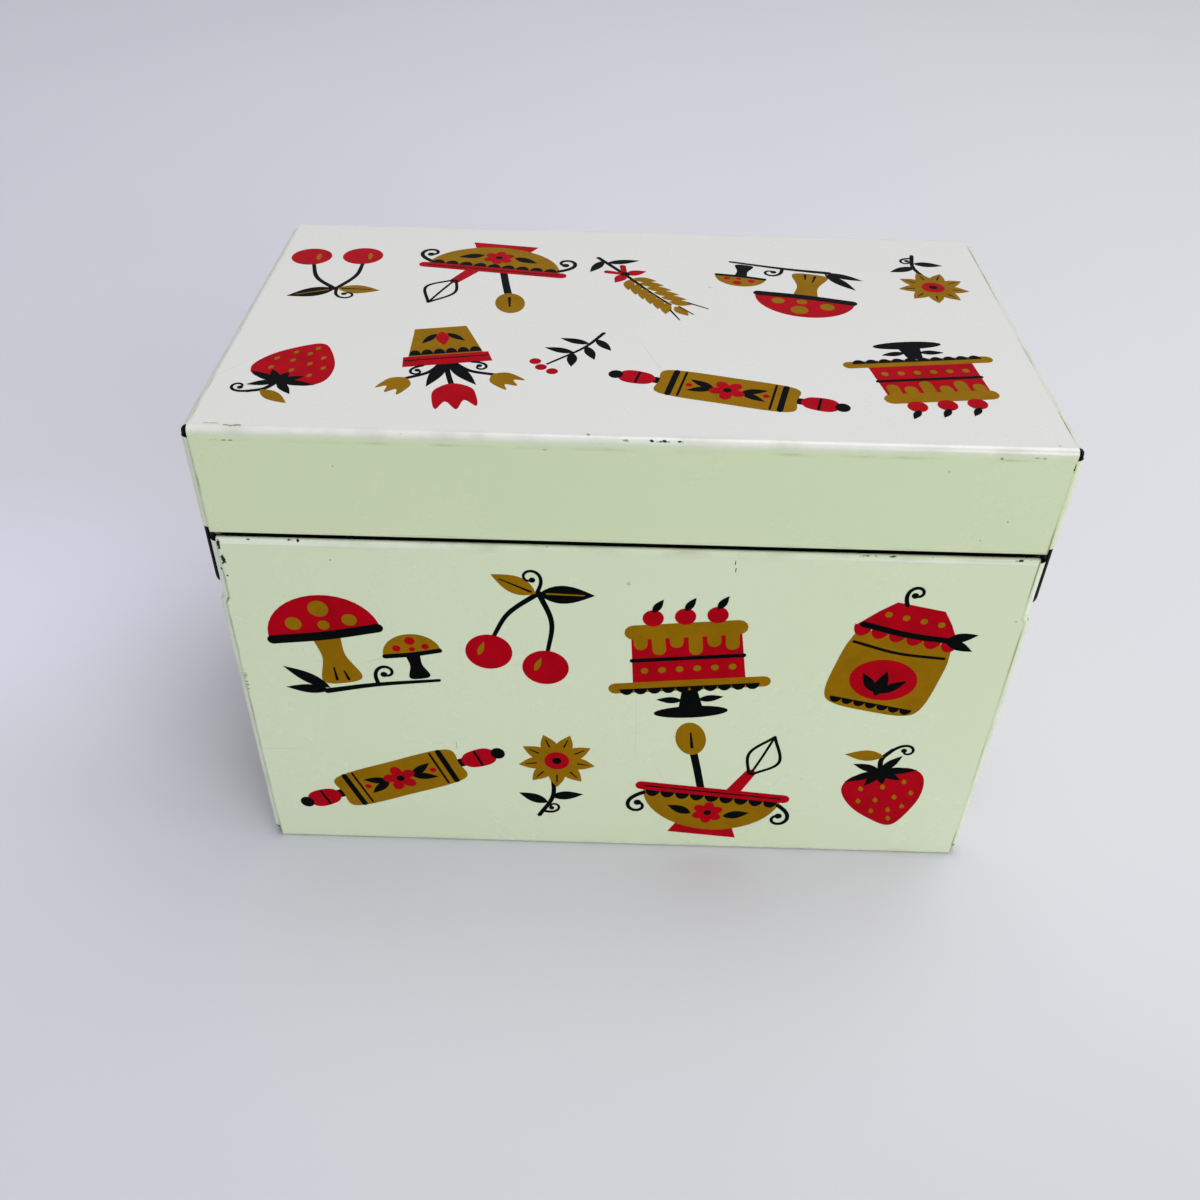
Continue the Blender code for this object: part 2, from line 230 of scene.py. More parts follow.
class RecipeBoxStage(bpy.types.PropertyGroup):
    """Camera, floor and lights."""

    lens: FloatProperty(name="Lens", description="Focal length in millimetres", default=35.03)
    camera_place: FloatVectorProperty(
        name="Camera place", description="Where the camera stands", subtype="TRANSLATION", size=3,
        default=(0.00318, 0.18735, 0.18455),
    )
    camera_turn: FloatVectorProperty(
        name="Camera turn", description="Tilt, roll and heading of the camera", subtype="EULER", size=3,
        default=(radians(50.562), radians(-1.03), radians(-178.77)),
    )
    floor_size: FloatProperty(name="Floor", description="Width of the floor", default=8.0, unit="LENGTH")
    # The floor's two colours paint its light: dim and bluer on the camera's left, bright on its right
    floor_dark: FloatVectorProperty(
        name="Floor, dim side", description="Floor colour on the camera's left", subtype="COLOR",
        size=4, default=(0.63, 0.635, 0.70, 1.0), min=0.0, max=1.0,
    )
    floor_light: FloatVectorProperty(
        name="Floor, bright side", description="Floor colour on the camera's right", subtype="COLOR",
        size=4, default=(0.665, 0.67, 0.69, 1.0), min=0.0, max=1.0,
    )
    floor_wash: FloatVectorProperty(
        name="Floor, lilac wash", description="Soft lilac patch left of the box", subtype="COLOR",
        size=4, default=(0.72, 0.70, 0.84, 1.0), min=0.0, max=1.0,
    )
    sky: FloatVectorProperty(
        name="Sky", description="Colour of the soft light from all round", subtype="COLOR",
        size=4, default=(0.80, 0.81, 0.86, 1.0), min=0.0, max=1.0,
    )
    sky_strength: FloatProperty(name="Sky strength", description="Level of the sky", default=0.62)
    key_watts: FloatProperty(name="Key", description="Power of the overhead softbox", default=9.6)
    fill_watts: FloatProperty(name="Fill", description="Power of the softbox by the camera", default=1.47)
    fill_spread: FloatProperty(
        name="Fill spread", description="How widely the gridded softbox by the camera fans out",
        subtype="ANGLE", default=radians(90), min=radians(1), max=pi,
    )


# Sheets: a line of edges is pulled and folded, as a press brake bends tinplate

HOLE_STEPS = 48
EAR_STEPS = 14
FLAT = 0.999
SIDES = (("left", -1), ("right", 1))


def chain(bm, points):
    """Join points into a line of edges."""
    verts = [bm.verts.new(point) for point in points]
    return [bm.edges.new(pair) for pair in zip(verts, verts[1:])]


def pull(bm, edges, move):
    """Extrude a line of edges, put each new vertex where move says, and give the new line."""
    made = bmesh.ops.extrude_edge_only(bm, edges=edges)["geom"]
    verts = {item for item in made if isinstance(item, bmesh.types.BMVert)}
    for vert in verts:
        vert.co = move(vert.co)
    lines = [item for item in made if isinstance(item, bmesh.types.BMEdge)]
    return [line for line in lines if verts.issuperset(line.verts)]


def fold(bm, edges, centre, axis, angle, steps):
    """Turn a line of edges about an axis and give the new line."""
    verts = list({vert for edge in edges for vert in edge.verts})
    made = bmesh.ops.spin(
        bm, geom=verts + list(edges), cent=centre, axis=axis, angle=angle, steps=steps
    )["geom_last"]
    return [item for item in made if isinstance(item, bmesh.types.BMEdge)]


def s_curve(steps):
    """Even steps along a smooth joggle: the share of its length and of its offset at each."""
    marks = [step / steps for step in range(1, steps + 1)]
    return [(mark, (1 - cos(pi * mark)) / 2) for mark in marks]


def shifted(offset):
    """A move for pull: every vertex by the same offset."""
    return lambda co: co + Vector(offset)


def raised(z):
    """A move for pull: every vertex to one height."""
    return lambda co: Vector((co.x, co.y, z))


def longest(edges):
    """The longest edge of a line."""
    return max(edges, key=lambda edge: edge.calc_length())


def turn_outwards(bm, outward):
    """Give every face of an open sheet one side, the side of its largest face being outward."""
    bmesh.ops.recalc_face_normals(bm, faces=bm.faces[:])
    largest = max(bm.faces, key=lambda face: face.calc_area())
    if largest.normal.dot(Vector(outward)) < 0:
        bmesh.ops.reverse_faces(bm, faces=bm.faces[:])


class Strip:
    """A sheet folded across the box, from its first edge to its last."""

    def __init__(self, y, z, heading, half_width):
        self.bm = bmesh.new()
        self.y = y
        self.z = z
        self.heading = heading
        self.front = chain(self.bm, [(-half_width, y, z), (half_width, y, z)])

    def go(self, y, z, half_width):
        """Run flat to a place, with the sheet's ends at half_width there."""
        def move(co):
            return Vector((half_width if co.x > 0 else -half_width, y, z))

        self.front = pull(self.bm, self.front, move)
        self.y = y
        self.z = z

    def turn(self, degrees, radius, steps):
        """Fold round a centre on the left of the heading, or on its right where degrees is negative."""
        side = 1 if degrees > 0 else -1
        start = radians(self.heading)
        end = radians(self.heading + degrees)
        centre_y = self.y - side * radius * sin(start)
        centre_z = self.z + side * radius * cos(start)
        self.front = fold(
            self.bm, self.front, (0, centre_y, centre_z), (1, 0, 0), radians(degrees), steps
        )
        self.y = centre_y + side * radius * sin(end)
        self.z = centre_z - side * radius * cos(end)
        self.heading += degrees


def hem_radius(sizes):
    """Outer radius of the hems."""
    return sizes.sheet + sizes.hem_gap / 2


def neck_foot(sizes):
    """Height at which the body's step ends and its neck begins."""
    return BOX["lid_edge"] - sizes.foot_drop


def body_strip(sizes):
    """Front wall, floor and back wall, with a hemmed rim and a neck at the front."""
    hem = hem_radius(sizes)
    foot = neck_foot(sizes)
    shoulder = foot - sizes.shoulder_rise
    depth = BOX["half_depth"]
    wide = BOX["wall_half"]
    neck_y = sizes.front_step - depth
    neck = wide - sizes.side_step
    mitred = neck - sizes.hem_mitre
    hem_foot = BOX["rim"] - sizes.hem_height
    strip = Strip(neck_y + 2 * hem, hem_foot, 90, mitred)
    strip.go(strip.y, BOX["rim"] - hem, neck)
    strip.turn(180, hem, sizes.hem_steps)
    strip.go(neck_y, foot, neck)
    for down, out in s_curve(sizes.shoulder_steps):
        y = neck_y - sizes.front_step * out
        strip.go(y, foot - sizes.shoulder_rise * down, neck + sizes.side_step * out)
    strip.go(-depth, BOX["floor"] + sizes.fold_radius, wide)
    strip.turn(90, sizes.fold_radius, sizes.fold_steps)
    strip.go(depth - sizes.fold_radius, BOX["floor"], wide)
    strip.turn(90, sizes.fold_radius, sizes.fold_steps)
    strip.go(depth, shoulder, wide)
    strip.go(depth, foot, neck)
    strip.go(depth, BOX["rim"] - hem, neck)
    strip.turn(180, hem, sizes.hem_steps)
    strip.go(strip.y, hem_foot, mitred)
    turn_outwards(strip.bm, (0, -1, 0))
    return strip.bm


def lid_strip(sizes):
    """Front skirt, top and back skirt, with both lower edges hemmed."""
    hem = hem_radius(sizes)
    depth = BOX["half_depth"]
    wide = BOX["wall_half"]
    mitred = wide - sizes.hem_mitre
    edge = BOX["lid_edge"]
    back_edge = BOX["rim"] + sizes.rear_gap
    strip = Strip(2 * hem - depth, edge + sizes.hem_height, -90, mitred)
    strip.go(strip.y, edge + hem, wide)
    strip.turn(-180, hem, sizes.hem_steps)
    strip.go(-depth, BOX["top"] - sizes.fold_radius, wide)
    strip.turn(-90, sizes.fold_radius, sizes.fold_steps)
    strip.go(depth - sizes.fold_radius, BOX["top"], wide)
    strip.turn(-90, sizes.fold_radius, sizes.fold_steps)
    strip.go(depth, back_edge + hem, wide)
    strip.turn(-180, hem, sizes.hem_steps)
    strip.go(strip.y, back_edge + sizes.hem_height, mitred)
    turn_outwards(strip.bm, (0, 0, 1))
    return strip.bm


def corner_radius(sizes):
    """Outer radius of the end panels' bends."""
    return BOX["half_width"] - BOX["wall_half"] - sizes.seam_gap


def end_plan(sizes, z):
    """An end panel's outline from above, from its front corner bend to its back one."""
    radius = corner_radius(sizes)
    centre_x = BOX["half_width"] - radius
    centre_y = BOX["half_depth"] - BOX["lap"] - radius
    turns = [pi / 2 * step / sizes.fold_steps for step in range(sizes.fold_steps + 1)]
    back = [(centre_x + radius * cos(turn), centre_y + radius * sin(turn), z) for turn in turns]
    front = [(x, -y, z) for x, y, z in reversed(back)]
    return front + back


def add_flange(bm, sizes, low, high, y_side):
    """Pull a flange from the free edge of a corner bend, between two heights."""
    slack = sizes.seam_gap / 2
    seam = BOX["half_width"] - corner_radius(sizes) + slack

    def on_free_edge(co):
        return low - slack < co.z < high + slack and co.x < seam and co.y * y_side > BOX["pivot_y"]

    upright = [
        edge for edge in bm.edges
        if edge.is_boundary and all(on_free_edge(vert.co) for vert in edge.verts)
        and abs(edge.verts[0].co.z - edge.verts[1].co.z) > slack
    ]
    pull(bm, upright, shifted((-sizes.flange_width, 0, 0)))


def cut_round_hole(bm, sizes, radius, x):
    """Cut a round hole at the hinge axis into the flat sheet that crosses it at x."""
    slack = sizes.seam_gap / 2
    centre = Vector((x, BOX["pivot_y"], BOX["pivot_z"]))
    flat = [
        face for face in bm.faces
        if abs(face.normal.x) > FLAT and all(abs(vert.co.x - x) < slack for vert in face.verts)
        and min(vert.co.y for vert in face.verts) < centre.y < max(vert.co.y for vert in face.verts)
        and min(vert.co.z for vert in face.verts) < centre.z < max(vert.co.z for vert in face.verts)
    ]
    panel = flat[0]
    outline = list(panel.edges)
    bmesh.ops.delete(bm, geom=[panel], context="FACES_ONLY")
    turns = [2 * pi * step / HOLE_STEPS for step in range(HOLE_STEPS)]
    ring = [
        bm.verts.new(centre + Vector((0, radius * cos(turn), radius * sin(turn)))) for turn in turns
    ]
    rim = [bm.edges.new((ring[place - 1], ring[place])) for place in range(HOLE_STEPS)]
    bmesh.ops.triangle_fill(bm, use_beauty=True, use_dissolve=False, edges=outline + rim)


def body_end_sheet(sizes):
    """The right end of the body: flush below, stepped in at the neck, hemmed at the rim."""
    hem = hem_radius(sizes)
    radius = corner_radius(sizes)
    rim = BOX["rim"]
    foot = neck_foot(sizes)
    shoulder = foot - sizes.shoulder_rise
    floor_bend_top = BOX["floor"] + BOX["lap"] + radius
    bends_foot = floor_bend_top + sizes.foot_relief
    flange_top = rim - sizes.hem_height - sizes.relief
    bm = bmesh.new()
    first = chain(bm, end_plan(sizes, bends_foot))
    panel = longest(first)

    def neck_move(part, height):
        def move(co):
            inward = sizes.front_step * part if co.y < 0 else 0
            return Vector((co.x - sizes.side_step * part, co.y + inward, height))
        return move

    row = pull(bm, first, raised(shoulder - sizes.relief))
    row = pull(bm, row, raised(shoulder))
    last = 0
    for up, inward in s_curve(sizes.shoulder_steps):
        row = pull(bm, row, neck_move(inward - last, shoulder + sizes.shoulder_rise * up))
        last = inward
    row = pull(bm, row, raised(foot + sizes.relief))
    row = pull(bm, row, raised(flange_top))
    row = pull(bm, row, raised(rim - sizes.corner_notch))
    rim_edge = pull(bm, [longest(row)], raised(rim - hem))
    neck_x = BOX["half_width"] - sizes.side_step
    hem_centre = (neck_x - hem, 0, rim - hem)
    rim_edge = fold(bm, rim_edge, hem_centre, (0, -1, 0), pi, sizes.hem_steps)

    def mitred(co):
        inward = -sizes.hem_mitre if co.y > 0 else sizes.hem_mitre
        return Vector((co.x, co.y + inward, rim - sizes.hem_height))

    pull(bm, rim_edge, mitred)
    floor_edge = pull(bm, [panel], raised(floor_bend_top))
    floor_centre = (BOX["half_width"] - radius, 0, floor_bend_top)
    floor_edge = fold(bm, floor_edge, floor_centre, (0, 1, 0), pi / 2, sizes.fold_steps)
    pull(bm, floor_edge, shifted((-sizes.flange_width, 0, 0)))
    add_flange(bm, sizes, bends_foot, flange_top, 1)
    add_flange(bm, sizes, bends_foot, shoulder - sizes.relief, -1)
    add_flange(bm, sizes, foot + sizes.relief, flange_top, -1)
    bm.normal_update()
    cut_round_hole(bm, sizes, sizes.neck_hole, neck_x)
    return bm


def lid_end_sheet(sizes):
    """The right end of the lid, with a round pivot ear below its back corner."""
    radius = corner_radius(sizes)
    edge = BOX["lid_edge"]
    back_edge = BOX["rim"] + sizes.rear_gap
    top_bend_foot = BOX["top"] - BOX["lap"] - radius
    bends_top = top_bend_foot - sizes.relief
    back_flange_foot = back_edge + sizes.hem_height + sizes.relief
    bm = bmesh.new()
    first = chain(bm, end_plan(sizes, back_edge + sizes.corner_notch))
    row = pull(bm, first, raised(back_flange_foot))
    row = pull(bm, row, raised(bends_top))
    top_edge = pull(bm, [longest(row)], raised(top_bend_foot))
    top_centre = (BOX["half_width"] - radius, 0, top_bend_foot)
    top_edge = fold(bm, top_edge, top_centre, (0, -1, 0), pi / 2, sizes.fold_steps)
    pull(bm, top_edge, shifted((-sizes.flange_width, 0, 0)))
    front_flange_foot = edge + sizes.hem_height + sizes.relief
    panel_place = first.index(longest(first))
    row = pull(bm, first[: panel_place + 1], raised(front_flange_foot))
    row = pull(bm, row, raised(edge + sizes.corner_notch))
    skirt = pull(bm, [longest(row)], raised(edge))
    round_ear(bm, sizes, max(skirt[0].verts, key=lambda vert: vert.co.y))
    add_flange(bm, sizes, back_flange_foot, bends_top, 1)
    add_flange(bm, sizes, front_flange_foot, bends_top, -1)
    bm.normal_update()
    cut_round_hole(bm, sizes, sizes.ear_hole, BOX["half_width"])
    return bm


def round_ear(bm, sizes, corner):
    """Join the panel's levels beside the ear into one face, then round the ear's free corner."""
    slack = sizes.seam_gap / 2
    top = BOX["rim"] + sizes.rear_gap + sizes.corner_notch
    levels = [
        edge for edge in bm.edges
        if abs(edge.verts[0].co.z - edge.verts[1].co.z) < slack
        and abs(edge.verts[0].co.x - corner.co.x) < slack
        and abs(edge.verts[1].co.x - corner.co.x) < slack
        and any(abs(vert.co.y - corner.co.y) < slack for vert in edge.verts)
        and corner.co.z + slack < edge.verts[0].co.z < top - slack
    ]
    bmesh.ops.dissolve_edges(bm, edges=levels, use_verts=True)
    bmesh.ops.bevel(
        bm, geom=[corner], offset=sizes.ear_round, segments=EAR_STEPS, profile=0.5,
        affect="VERTICES", material=-1,
    )


# Pieces

SHARP_ANGLE = radians(40)


def link(name, mesh):
    """Put a mesh in the scene as an object at the origin."""
    piece = bpy.data.objects.new(name, mesh)
    bpy.context.scene.collection.objects.link(piece)
    return piece


def settle(piece):
    """Apply a piece's modifiers, then shade it smooth with sharp corners and flat panels."""
    graph = bpy.context.evaluated_depsgraph_get()
    mesh = bpy.data.meshes.new_from_object(piece.evaluated_get(graph), depsgraph=graph)
    piece.modifiers.clear()
    piece.data = mesh
    mesh.name = piece.name
    mesh.shade_smooth()
    mesh.set_sharp_from_angle(angle=SHARP_ANGLE)
    weighted = piece.modifiers.new("flat panels", "WEIGHTED_NORMAL")
    weighted.keep_sharp = True
    weighted.mode = "FACE_AREA"
    return piece


def new_piece(name, bm, materials):
    """Turn a bmesh into an object with some materials."""
    mesh = bpy.data.meshes.new(name)
    bm.to_mesh(mesh)
    bm.free()
    for material in materials:
        mesh.materials.append(material)
    return link(name, mesh)


def make_sheet(name, bm, thickness, materials, body):
    """Turn an open sheet into tinplate: printed outside, plain inside and bare along its cut edges."""
    piece = new_piece(name, bm, materials)
    solidify = piece.modifiers.new("thickness", "SOLIDIFY")
    solidify.thickness = thickness
    solidify.offset = -1
    solidify.use_even_offset = True
    solidify.use_quality_normals = True
    solidify.material_offset = 1
    solidify.material_offset_rim = 2
    settle(piece)
    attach(piece, body)
    return piece


def mirrored(bm, side):
    """An end sheet for one side of the box, made from the right one."""
    if side < 0:
        bmesh.ops.scale(bm, vec=(-1, 1, 1), verts=bm.verts[:])
    turn_outwards(bm, (side, 0, 0))
    return bm


def make_shell(body, strip, end_sheet, sizes, materials):
    """Make the wrapper and the two ends of the body or the lid, each in its CAD node's place."""
    sheets = {f"{body}_wrapper": strip(sizes)}
    for word, side in SIDES:
        sheets[f"{body}_end_{word}"] = mirrored(end_sheet(sizes), side)
    for node, bm in sheets.items():
        piece = make_sheet(node + "_sheet", bm, sizes.sheet, materials, body)
        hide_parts(node)


# Materials

VECTOR = "NodeSocketVector"
VALUE = "NodeSocketFloat"


class Wiring:
    """Short ways to add and join shader nodes in one tree."""

    def __init__(self, tree):
        self.tree = tree

    def node(self, kind, **settings):
        made = self.tree.nodes.new(kind)
        for name, value in settings.items():
            setattr(made, name, value)
        return made

    def put(self, socket, value):
        """Join a socket to another one, or give it a plain value."""
        if isinstance(value, bpy.types.NodeSocket):
            self.tree.links.new(value, socket)
        else:
            socket.default_value = value

    def math(self, operation, first, second=0.0, clamp=False):
        made = self.node("ShaderNodeMath", operation=operation, use_clamp=clamp)
        self.put(made.inputs[0], first)
        self.put(made.inputs[1], second)
        return made.outputs[0]

    def times(self, first, *others):
        """The product of some values."""
        for other in others:
            first = self.math("MULTIPLY", first, other)
        return first

    def most(self, first, *others):
        """The largest of some values."""
        for other in others:
            first = self.math("MAXIMUM", first, other)
        return first

    def away(self, value, place):
        """How far a value is from a place, on either side."""
        return self.math("ABSOLUTE", self.math("SUBTRACT", value, place))

    def vector(self, operation, first, second=(0.0, 0.0, 0.0), output="Vector"):
        made = self.node("ShaderNodeVectorMath", operation=operation)
        self.put(made.inputs[0], first)
        self.put(made.inputs[1], second)
        return made.outputs[output]

    def mix(self, factor, first, second):
        made = self.node("ShaderNodeMix", data_type="RGBA")
        self.put(made.inputs[0], factor)
        self.put(made.inputs[6], first)
        self.put(made.inputs[7], second)
        return made.outputs[2]

    def fade(self, value, low, high, start=0.0, end=1.0):
        """A smooth step from start to end as value goes from low to high."""
        made = self.node("ShaderNodeMapRange", interpolation_type="SMOOTHSTEP")
        for place, item in enumerate((value, low, high, start, end)):
            self.put(made.inputs[place], item)
        return made.outputs[0]

    def line(self, value, place, core, reach, strength=1.0):
        """A soft line at a place, of full strength in its core and gone at its reach."""
        return self.fade(self.away(value, place), core, reach, strength, 0.0)

    def patch(self, position, centre, reach):
        """A broad patch, 1 at its centre and fading smoothly to 0 at its reach each way."""
        offset = self.vector("SUBTRACT", position, centre)
        share = self.vector("DIVIDE", offset, reach)
        return self.fade(self.vector("LENGTH", share, output="Value"), 0.0, 1.0, 1.0, 0.0)

    def noise(self, position, scale, detail=2.0, roughness=0.5):
        made = self.node("ShaderNodeTexNoise")
        self.put(made.inputs["Vector"], position)
        self.put(made.inputs["Scale"], scale)
        self.put(made.inputs["Detail"], detail)
        self.put(made.inputs["Roughness"], roughness)
        return made.outputs["Fac"]

    def cells(self, position, scale):
        made = self.node("ShaderNodeTexVoronoi", feature="F1")
        self.put(made.inputs["Vector"], position)
        self.put(made.inputs["Scale"], scale)
        return made.outputs

    def stretched(self, position, scale):
        """A position scaled along each axis, for streaks and rolling grain."""
        made = self.node("ShaderNodeMapping")
        self.put(made.inputs["Vector"], position)
        made.inputs["Scale"].default_value = scale
        return made.outputs[0]

    def split(self, vector):
        made = self.node("ShaderNodeSeparateXYZ")
        self.put(made.inputs[0], vector)
        return made.outputs[0], made.outputs[1], made.outputs[2]

    def bump(self, height, strength, distance, normal=None):
        made = self.node("ShaderNodeBump")
        self.put(made.inputs["Height"], height)
        self.put(made.inputs["Strength"], strength)
        self.put(made.inputs["Distance"], distance)
        if normal is not None:
            self.put(made.inputs["Normal"], normal)
        return made.outputs["Normal"]

    def group(self, tree, **inputs):
        """Place a node group, its inputs given by name, and give its one output."""
        made = self.node("ShaderNodeGroup", node_tree=tree)
        for name, value in inputs.items():
            self.put(made.inputs[name], value)
        return made.outputs[0]


def shader_group(name, inputs, output="Mask", kind=VALUE):
    """Turn a function that wires a node group into one that makes it once and then finds it."""
    def around(wire):
        @wraps(wire)
        def find_or_make():
            tree = bpy.data.node_groups.get(name)
            if tree is not None:
                return tree
            tree = bpy.data.node_groups.new(name, "ShaderNodeTree")
            for socket_name, socket_kind in inputs.items():
                tree.interface.new_socket(name=socket_name, in_out="INPUT", socket_type=socket_kind)
            tree.interface.new_socket(name=output, in_out="OUTPUT", socket_type=kind)
            wiring = Wiring(tree)
            entry = wiring.node("NodeGroupInput")
            leave = wiring.node("NodeGroupOutput")
            wiring.put(leave.inputs[output], wire(wiring, entry.outputs))
            return tree
        return find_or_make
    return around


@shader_group(
    "Fold distance", {"Position": VECTOR, "Half": VECTOR, "Low": VALUE, "High": VALUE}, "Distance"
)
def fold_distance(wiring, inputs):
    """How far a point on a box lies from the nearest of its edges."""
    x, y, z = wiring.split(inputs["Position"])
    half_x, half_y, _ = wiring.split(inputs["Half"])
    from_x = wiring.math("SUBTRACT", half_x, wiring.math("ABSOLUTE", x))
    from_y = wiring.math("SUBTRACT", half_y, wiring.math("ABSOLUTE", y))
    from_low = wiring.math("SUBTRACT", z, inputs["Low"])
    from_high = wiring.math("SUBTRACT", inputs["High"], z)
    from_z = wiring.math("MINIMUM", from_low, from_high)
    smaller = wiring.math("MINIMUM", from_x, from_y)
    larger = wiring.most(from_x, from_y)
    return wiring.most(smaller, wiring.math("MINIMUM", larger, from_z), 0.0)


@shader_group(
    "Rubbed edge",
    {"Position": VECTOR, "Distance": VALUE, "Reach": VALUE, "Amount": VALUE, "Scale": VALUE},
)
def rubbed_edge(wiring, inputs):
    """Ragged marks that crowd along an edge and thin out away from it."""
    near = wiring.fade(inputs["Distance"], 0.0, inputs["Reach"], 1.0, 0.0)
    fine = wiring.noise(inputs["Position"], inputs["Scale"], 6.0, 0.62)
    broad = wiring.noise(inputs["Position"], wiring.times(inputs["Scale"], 0.16), 1.0)
    patchy = wiring.fade(broad, 0.48, 0.66)
    level = wiring.math("ADD", fine, wiring.times(near, wiring.times(patchy, inputs["Amount"])))
    return wiring.fade(level, 0.93, 1.0)


@shader_group("Hairlines", {"Position": VECTOR, "Scale": VALUE, "Width": VALUE})
def hairlines(wiring, inputs):
    """Sparse straight scratches: each cell's own plane, where it crosses the surface."""
    cells = wiring.cells(inputs["Position"], inputs["Scale"])
    dice = wiring.node("ShaderNodeTexWhiteNoise", noise_dimensions="3D")
    wiring.put(dice.inputs["Vector"], cells["Position"])
    tilt = wiring.vector("NORMALIZE", wiring.vector("SUBTRACT", dice.outputs["Color"], (0.5, 0.5, 0.5)))
    offset = wiring.vector("SUBTRACT", inputs["Position"], cells["Position"])
    away = wiring.math("ABSOLUTE", wiring.vector("DOT_PRODUCT", tilt, offset, "Value"))
    line = wiring.fade(away, wiring.times(inputs["Width"], 0.3), inputs["Width"], 1.0, 0.0)
    short = wiring.fade(cells["Distance"], 0.22, 0.48, 1.0, 0.0)
    chosen = wiring.math("GREATER_THAN", wiring.split(cells["Color"])[0], 0.72)
    return wiring.times(chosen, wiring.times(line, short))


@shader_group("Specks", {"Position": VECTOR, "Scale": VALUE, "Size": VALUE})
def specks(wiring, inputs):
    """Small round flaws scattered thinly over a surface."""
    cells = wiring.cells(inputs["Position"], inputs["Scale"])
    red, green, _ = wiring.split(cells["Color"])
    chosen = wiring.math("GREATER_THAN", red, 0.86)
    size = wiring.times(inputs["Size"], wiring.math("ADD", green, 0.3))
    return wiring.times(chosen, wiring.math("LESS_THAN", cells["Distance"], size))


@shader_group(
    "Mark", {"Position": VECTOR, "Centre": VECTOR, "Reach": VECTOR, "Ragged": VALUE, "Cover": VALUE}
)
def mark(wiring, inputs):
    """One mark at a place, its outline broken up by a ragged value."""
    near = wiring.patch(inputs["Position"], inputs["Centre"], inputs["Reach"])
    level = wiring.math("ADD", inputs["Ragged"], wiring.times(near, inputs["Cover"]))
    return wiring.fade(level, 0.88, 0.97)


@shader_group("Seam dirt", {"Position": VECTOR, "Seam": VALUE, "Spread": VALUE})
def seam_dirt(wiring, inputs):
    """Dirt that has settled in the upright seams, where a sheet's edge lies over a bend."""
    across = wiring.math("ABSOLUTE", wiring.split(inputs["Position"])[0])
    core = wiring.times(inputs["Spread"], 0.3)
    line = wiring.line(across, inputs["Seam"], core, inputs["Spread"])
    settled = wiring.fade(wiring.noise(inputs["Position"], 70.0, 3.0), 0.42, 0.64, 0.14, 1.0)
    return wiring.times(line, settled)


@shader_group(
    "Enamel skin", {"Position": VECTOR, "Ripple": VALUE, "Peel": VALUE, "Marks": VALUE},
    "Normal", VECTOR,
)
def enamel_skin(wiring, inputs):
    """The surface of stoved enamel on rolled sheet: a slow ripple under a fine orange peel."""
    slow = wiring.noise(inputs["Position"], 22.0, 1.0)
    rippled = wiring.bump(slow, inputs["Ripple"], 0.0012)
    peel = wiring.noise(inputs["Position"], 1500.0, 2.0)
    peeled = wiring.bump(peel, inputs["Peel"], 0.00006, rippled)
    sunk = wiring.math("SUBTRACT", 1.0, inputs["Marks"])
    return wiring.bump(sunk, 0.6, 0.00003, peeled)


def new_material(name):
    """An empty node material with its shader, its wiring and the place on the piece."""
    material = bpy.data.materials.new(name)
    material.use_nodes = True
    shader = material.node_tree.nodes["Principled BSDF"]
    wiring = Wiring(material.node_tree)
    position = wiring.node("ShaderNodeTexCoord").outputs["Object"]
    return material, shader, wiring, position


def pale(colour, lift):
    """A slightly lighter form of a colour."""
    return tuple(min(1.0, part + lift * (1.0 - part)) for part in colour[:3]) + (1.0,)


def deep(colour, drop):
    """A slightly darker form of a colour."""
    return tuple(part * (1.0 - drop) for part in colour[:3]) + (1.0,)


# Marks in millimetres: middle, reach each way, and how fully the mark covers

LID_CHIPS = (
    ((-2.9, 39.0, 93.2), (0.80, 0.50, 0.50), 0.66),
    ((-4.7, 39.0, 93.2), (1.20, 0.50, 0.50), 0.68),
    ((-7.2, 39.0, 93.2), (1.20, 0.45, 0.45), 0.62),
    ((-66.1, 39.2, 90.6), (0.55, 0.60, 2.20), 0.70),
    ((-66.0, 38.0, 93.3), (0.40, 0.90, 0.60), 0.62),
)
LID_STAINS = (
    ((-4.6, 39.0, 93.2), (5.20, 0.50, 0.34), 0.52),
    ((59.6, 38.4, 93.6), (4.20, 0.60, 0.50), 0.50),
    ((61.0, 39.3, 91.6), (5.00, 0.50, 0.60), 0.44),
    ((1.0, 39.0, 93.2), (1.70, 0.50, 0.45), 0.62),
    ((6.5, 38.3, 93.6), (0.70, 0.60, 0.50), 0.70),
    ((60.4, 38.2, 93.6), (1.00, 0.40, 0.50), 0.62),
    ((58.6, 38.2, 93.6), (1.20, 0.45, 0.50), 0.74),
    ((62.8, 37.8, 93.6), (3.40, 0.30, 0.50), 0.60),
    ((-63.4, 37.9, 93.6), (0.70, 0.30, 0.50), 0.68),
    ((-54.9, 39.3, 92.0), (0.60, 0.50, 0.50), 0.60),
    ((-60.4, 39.3, 92.2), (2.80, 0.50, 0.45), 0.50),
    ((-66.0, 32.0, 93.5), (0.30, 9.00, 0.60), 0.60),
    ((-58.4, 39.3, 80.6), (0.35, 0.50, 0.35), 0.75),
    ((-55.0, 39.3, 76.9), (0.40, 0.50, 0.30), 0.65),
    ((45.0, 39.3, 87.5), (0.30, 0.50, 0.30), 0.70),
    ((13.0, 39.3, 91.4), (1.60, 0.50, 0.35), 0.50),
)
